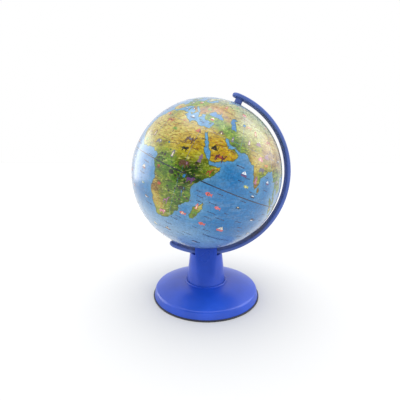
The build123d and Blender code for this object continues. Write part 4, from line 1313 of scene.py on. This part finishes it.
coasts = Print()
for path, closed in coast_paths():
    coasts.line([direction_of(*map_points[c]) for c in path], COAST_HALF, "coast", closed)
coasts.make("coast_lines")

# ---- pictures, signs and names scattered over the map ----
# The part of the map that faces the front at rest, where what lies at sea is placed one by one.
SHOWN_WEST = -12
SHOWN_EAST = 96
SHOWN_SOUTH = -40

# How many places are tried for each kind, and how far it stays from the shore, from the
# pictures and from its own kind, as distances on a ball of radius 1.
SEA_TRIES = 900
SEA_WEST = -175
SEA_HIGHEST_SINE = 0.94
SEA_FROM_SHORE = 0.08
SEA_GAP = 0.2
SIGN_TRIES = 5200
SIGN_TOP_LAT = 82
SIGN_FROM_SHORE = 0.02
SIGN_FROM_PICTURE = 0.05
SIGN_GAP = 0.036
LABEL_TRIES = 1500
LABEL_TOP_LAT = 72
LABEL_FROM_SHORE = 0.05
LABEL_GAP = 0.075
LABEL_THICK = 0.45

# Smallest and largest: sea pictures' half size and names' length in mm, signs' share of theirs.
SEA_SIZES = (2.4, 3.8)
LABEL_LENGTHS = (3.5, 7.5)
SIGN_SIZES = (0.8, 1.2)

SEA_KINDS = ("fish", "fish", "whale", "ship", "steamer", "turtle")
SEA_INKS = [
    ("coral", "cream"), ("navy", "ice"), ("teal", "cream"), ("plum", "ice"), ("rust", "cream"),
]

# Small signs of what grows or rises there, for each land colour: which, ink, half size in mm.
SIGNS = {
    "dune": ("dune", "rust", 1.5), "desert": ("dune", "umber", 1.5), "arabia": ("dune", "rust", 1.5),
    "savanna": ("tuft", "jungle", 0.9), "jungle": ("tree", "night", 1.2),
    "dark_jungle": ("tree", "night", 1.3), "bush": ("tuft", "dark_jungle", 1.0),
    "farmland": ("tuft", "umber", 0.9), "meadow": ("tree", "dark_jungle", 1.1),
    "steppe": ("tuft", "savanna", 0.9), "taiga": ("pine", "dark_jungle", 1.2),
    "tundra": ("tuft", "farmland", 0.9), "ice": ("mountain", "slate", 1.1),
    "plain": ("tuft", "rust", 0.9), "rock": ("mountain", "umber", 1.3),
    "outback": ("dune", "rust", 1.4),
}

# Names placed one by one: longitude, latitude, length and thickness in mm.
SHOWN_LABELS = [
    (72.5, -35, 30, 1.15), (73, -2, 6, 0.66), (52, 0, 6, 0.66), (57, -3, 5, 0.66), (55, -10, 7, 0.66),
    (57, -16, 8, 0.66), (66, -13, 4, 0.66), (78, -16, 7, 0.66), (83, -20, 6, 0.66), (84, -23, 4, 0.66),
    (46, -9, 5, 0.66), (47, -12, 6, 0.66), (44, -6, 4, 0.66), (56, -20, 7, 0.66), (64, -18, 9, 0.66),
    (63, 17, 7, 0.75), (70, 12, 5, 0.66), (66, 9, 5, 0.66), (80, 5, 5, 0.66), (76, 5, 4, 0.66),
    (88, 9, 5, 0.75), (86, 17, 5, 0.66), (34, -31, 6, 0.66), (37, -28, 5, 0.66), (2, -4, 8, 0.66),
    (4, 1, 6, 0.66), (0, -12, 8, 0.66), (10, -30, 7, 0.66), (30, -38, 8, 0.66), (48, -40, 9, 0.66),
    (18, 34.5, 5, 0.66), (27, 34, 4, 0.66), (60, -30, 7, 0.66), (51, -31, 5, 0.66), (91, -28, 8, 0.66),
]


def shown(lon, lat):
    return SHOWN_WEST < lon < SHOWN_EAST and lat > SHOWN_SOUTH


def clear_of(direction, others, gap):
    return all((direction - other).length > gap for other in others)


def random_place(west, highest):
    """An even random place, with the sine of its latitude held under a limit."""
    lon = chance.uniform(west, west + 360)
    return lon, math.degrees(math.asin(chance.uniform(-highest, highest)))


def scatter(count, top_lat):
    """Even random places on the ball up to a latitude, and whether each is on land."""
    highest = math.sin(math.radians(top_lat))
    spots = [random_place(SEAM_LON, highest) for _ in range(count)]
    return zip(spots, on_land(spots))


def nearest_ink(direction):
    """The ink of the land colour that lies nearest, for its spread."""
    nearest = min(REGION_SPOTS, key=lambda spot: (spot[0] - direction).length / spot[1])
    return nearest[2]


land_sheet = Print()
for picture in LAND_PICTURES:
    land_sheet.picture(*picture)
land_sheet.make("land_pictures")

taken = [unit(lon, lat) for _, lon, lat, *_ in LAND_PICTURES + SEA_PICTURES]
sea_sheet = Print()
for picture in SEA_PICTURES:
    sea_sheet.picture(*picture)
for _ in range(SEA_TRIES):
    spot = random_place(SEA_WEST, SEA_HIGHEST_SINE)
    here = unit(*spot)
    if shown(*spot) or from_shore(here) < SEA_FROM_SHORE or not clear_of(here, taken, SEA_GAP):
        continue
    taken.append(here)
    kind = chance.choice(SEA_KINDS)
    sea_sheet.picture(kind, *spot, chance.uniform(*SEA_SIZES), *chance.choice(SEA_INKS))
sea_sheet.make("sea_pictures")

sign_sheet = Print()
signs_taken = []
for spot, is_land in scatter(SIGN_TRIES, SIGN_TOP_LAT):
    here = unit(*spot)
    if not is_land or from_shore(here) < SIGN_FROM_SHORE:
        continue
    if not clear_of(here, taken, SIGN_FROM_PICTURE) or not clear_of(here, signs_taken, SIGN_GAP):
        continue
    signs_taken.append(here)
    name, ink, size = SIGNS[nearest_ink(here)]
    sign_sheet.picture(name, *spot, size * chance.uniform(*SIGN_SIZES), ink, "umber")
sign_sheet.make("land_signs")

label_sheet = Print()
for lon, lat, length, thick in SHOWN_LABELS:
    label_sheet.words(lon, lat, length, thick, "navy")
for spot, is_land in scatter(LABEL_TRIES, LABEL_TOP_LAT):
    here = unit(*spot)
    if not clear_of(here, taken, LABEL_GAP):
        continue
    if not is_land and (shown(*spot) or from_shore(here) < LABEL_FROM_SHORE):
        continue
    taken.append(here)
    ink = chance.choice(("umber", "night", "maroon")) if is_land else "navy"
    label_sheet.words(*spot, chance.uniform(*LABEL_LENGTHS), LABEL_THICK, ink)
label_sheet.make("label_strokes")


# ---- moulded plastic, steel and rubber ----
def moulded(name, colour, roughness, gloss_level=0.5, grain_scale=700, grain_depth=0.12):
    """Satin moulded plastic: faint mottling, an uneven gloss and a fine moulded grain."""
    material, tree = new_material(name, {"Specular IOR Level": gloss_level})
    cloud = noise(tree, 28, 3)
    grain = noise(tree, grain_scale, 4, 0.6)
    dark = (*(part * 0.86 for part in colour), 1)
    light = (*(min(1, part * 1.1 + 0.004) for part in colour), 1)
    finish_shader(tree, {
        "Base Color": mixed(tree, span(tree, cloud, 0.35, 0.65, 0, 1), dark, light),
        "Roughness": span(tree, cloud, 0.3, 0.7, roughness - 0.04, roughness + 0.05),
        "Normal": bump(tree, grain, grain_depth, 0.0003),
    })
    return material


def metal(name, colour, roughness):
    """Plated steel with fine turning marks."""
    material, tree = new_material(name, {"Metallic": 1.0})
    marks = noise(tree, 900, 3, 0.6, stretch=(1, 1, 12))
    dark = (*(part * 0.8 for part in colour), 1)
    finish_shader(tree, {
        "Base Color": mixed(tree, marks, dark, (*colour, 1)),
        "Roughness": span(tree, marks, 0.3, 0.7, roughness, roughness + 0.15),
        "Normal": bump(tree, marks, 0.1, 0.0002),
    })
    return material


ROYAL_BLUE = (0.008, 0.078, 0.62)
# The arm's blue is paler and greyer than the stand's: a painted sheen in place of the gloss that its
# low specular leaves out.
ARM_BLUE_PAINTED_SHEEN = (0.1, 0.16, 0.47)
NODE_MATERIALS = [
    (moulded("royal_blue_plastic", ROYAL_BLUE, 0.31, 0.62, grain_depth=0.04),
     ["column", "base_shell"]),
    (moulded("arm_blue_painted_sheen", ARM_BLUE_PAINTED_SHEEN, 0.55, 0.2, grain_depth=0.06), ["meridian_arm"]),
    (moulded("bush_plastic", (0.02, 0.05, 0.24), 0.5),
     ["north_pole_bush", "south_pole_bush", "north_spacer_washer", "south_spacer_washer"]),
    (moulded("pad_rubber", (0.03, 0.032, 0.055), 0.62, 0.5, 1200, 0.3), ["base_pad"]),
    (moulded("black_plastic", (0.02, 0.02, 0.022), 0.5), ["bottom_cover"]),
    (moulded("white_plastic", (0.8, 0.8, 0.78), 0.5), ["equator_joint_ring"]),
    (metal("raw_steel", (0.32, 0.32, 0.33), 0.45), ["ballast_disc"]),
    (metal("zinc_steel", (0.62, 0.62, 0.64), 0.3),
     ["arm_screw", "arm_screw_washer", "column_screws", "ballast_screws", "cover_screws",
      "north_pivot_pin", "south_pivot_pin"]),
]
for material, node_names in NODE_MATERIALS:
    for node_name in node_names:
        piece = frame["nodes"][node_name]
        if not piece.material_slots:
            piece.data.materials.append(material)
        for slot in piece.material_slots:
            slot.material = material
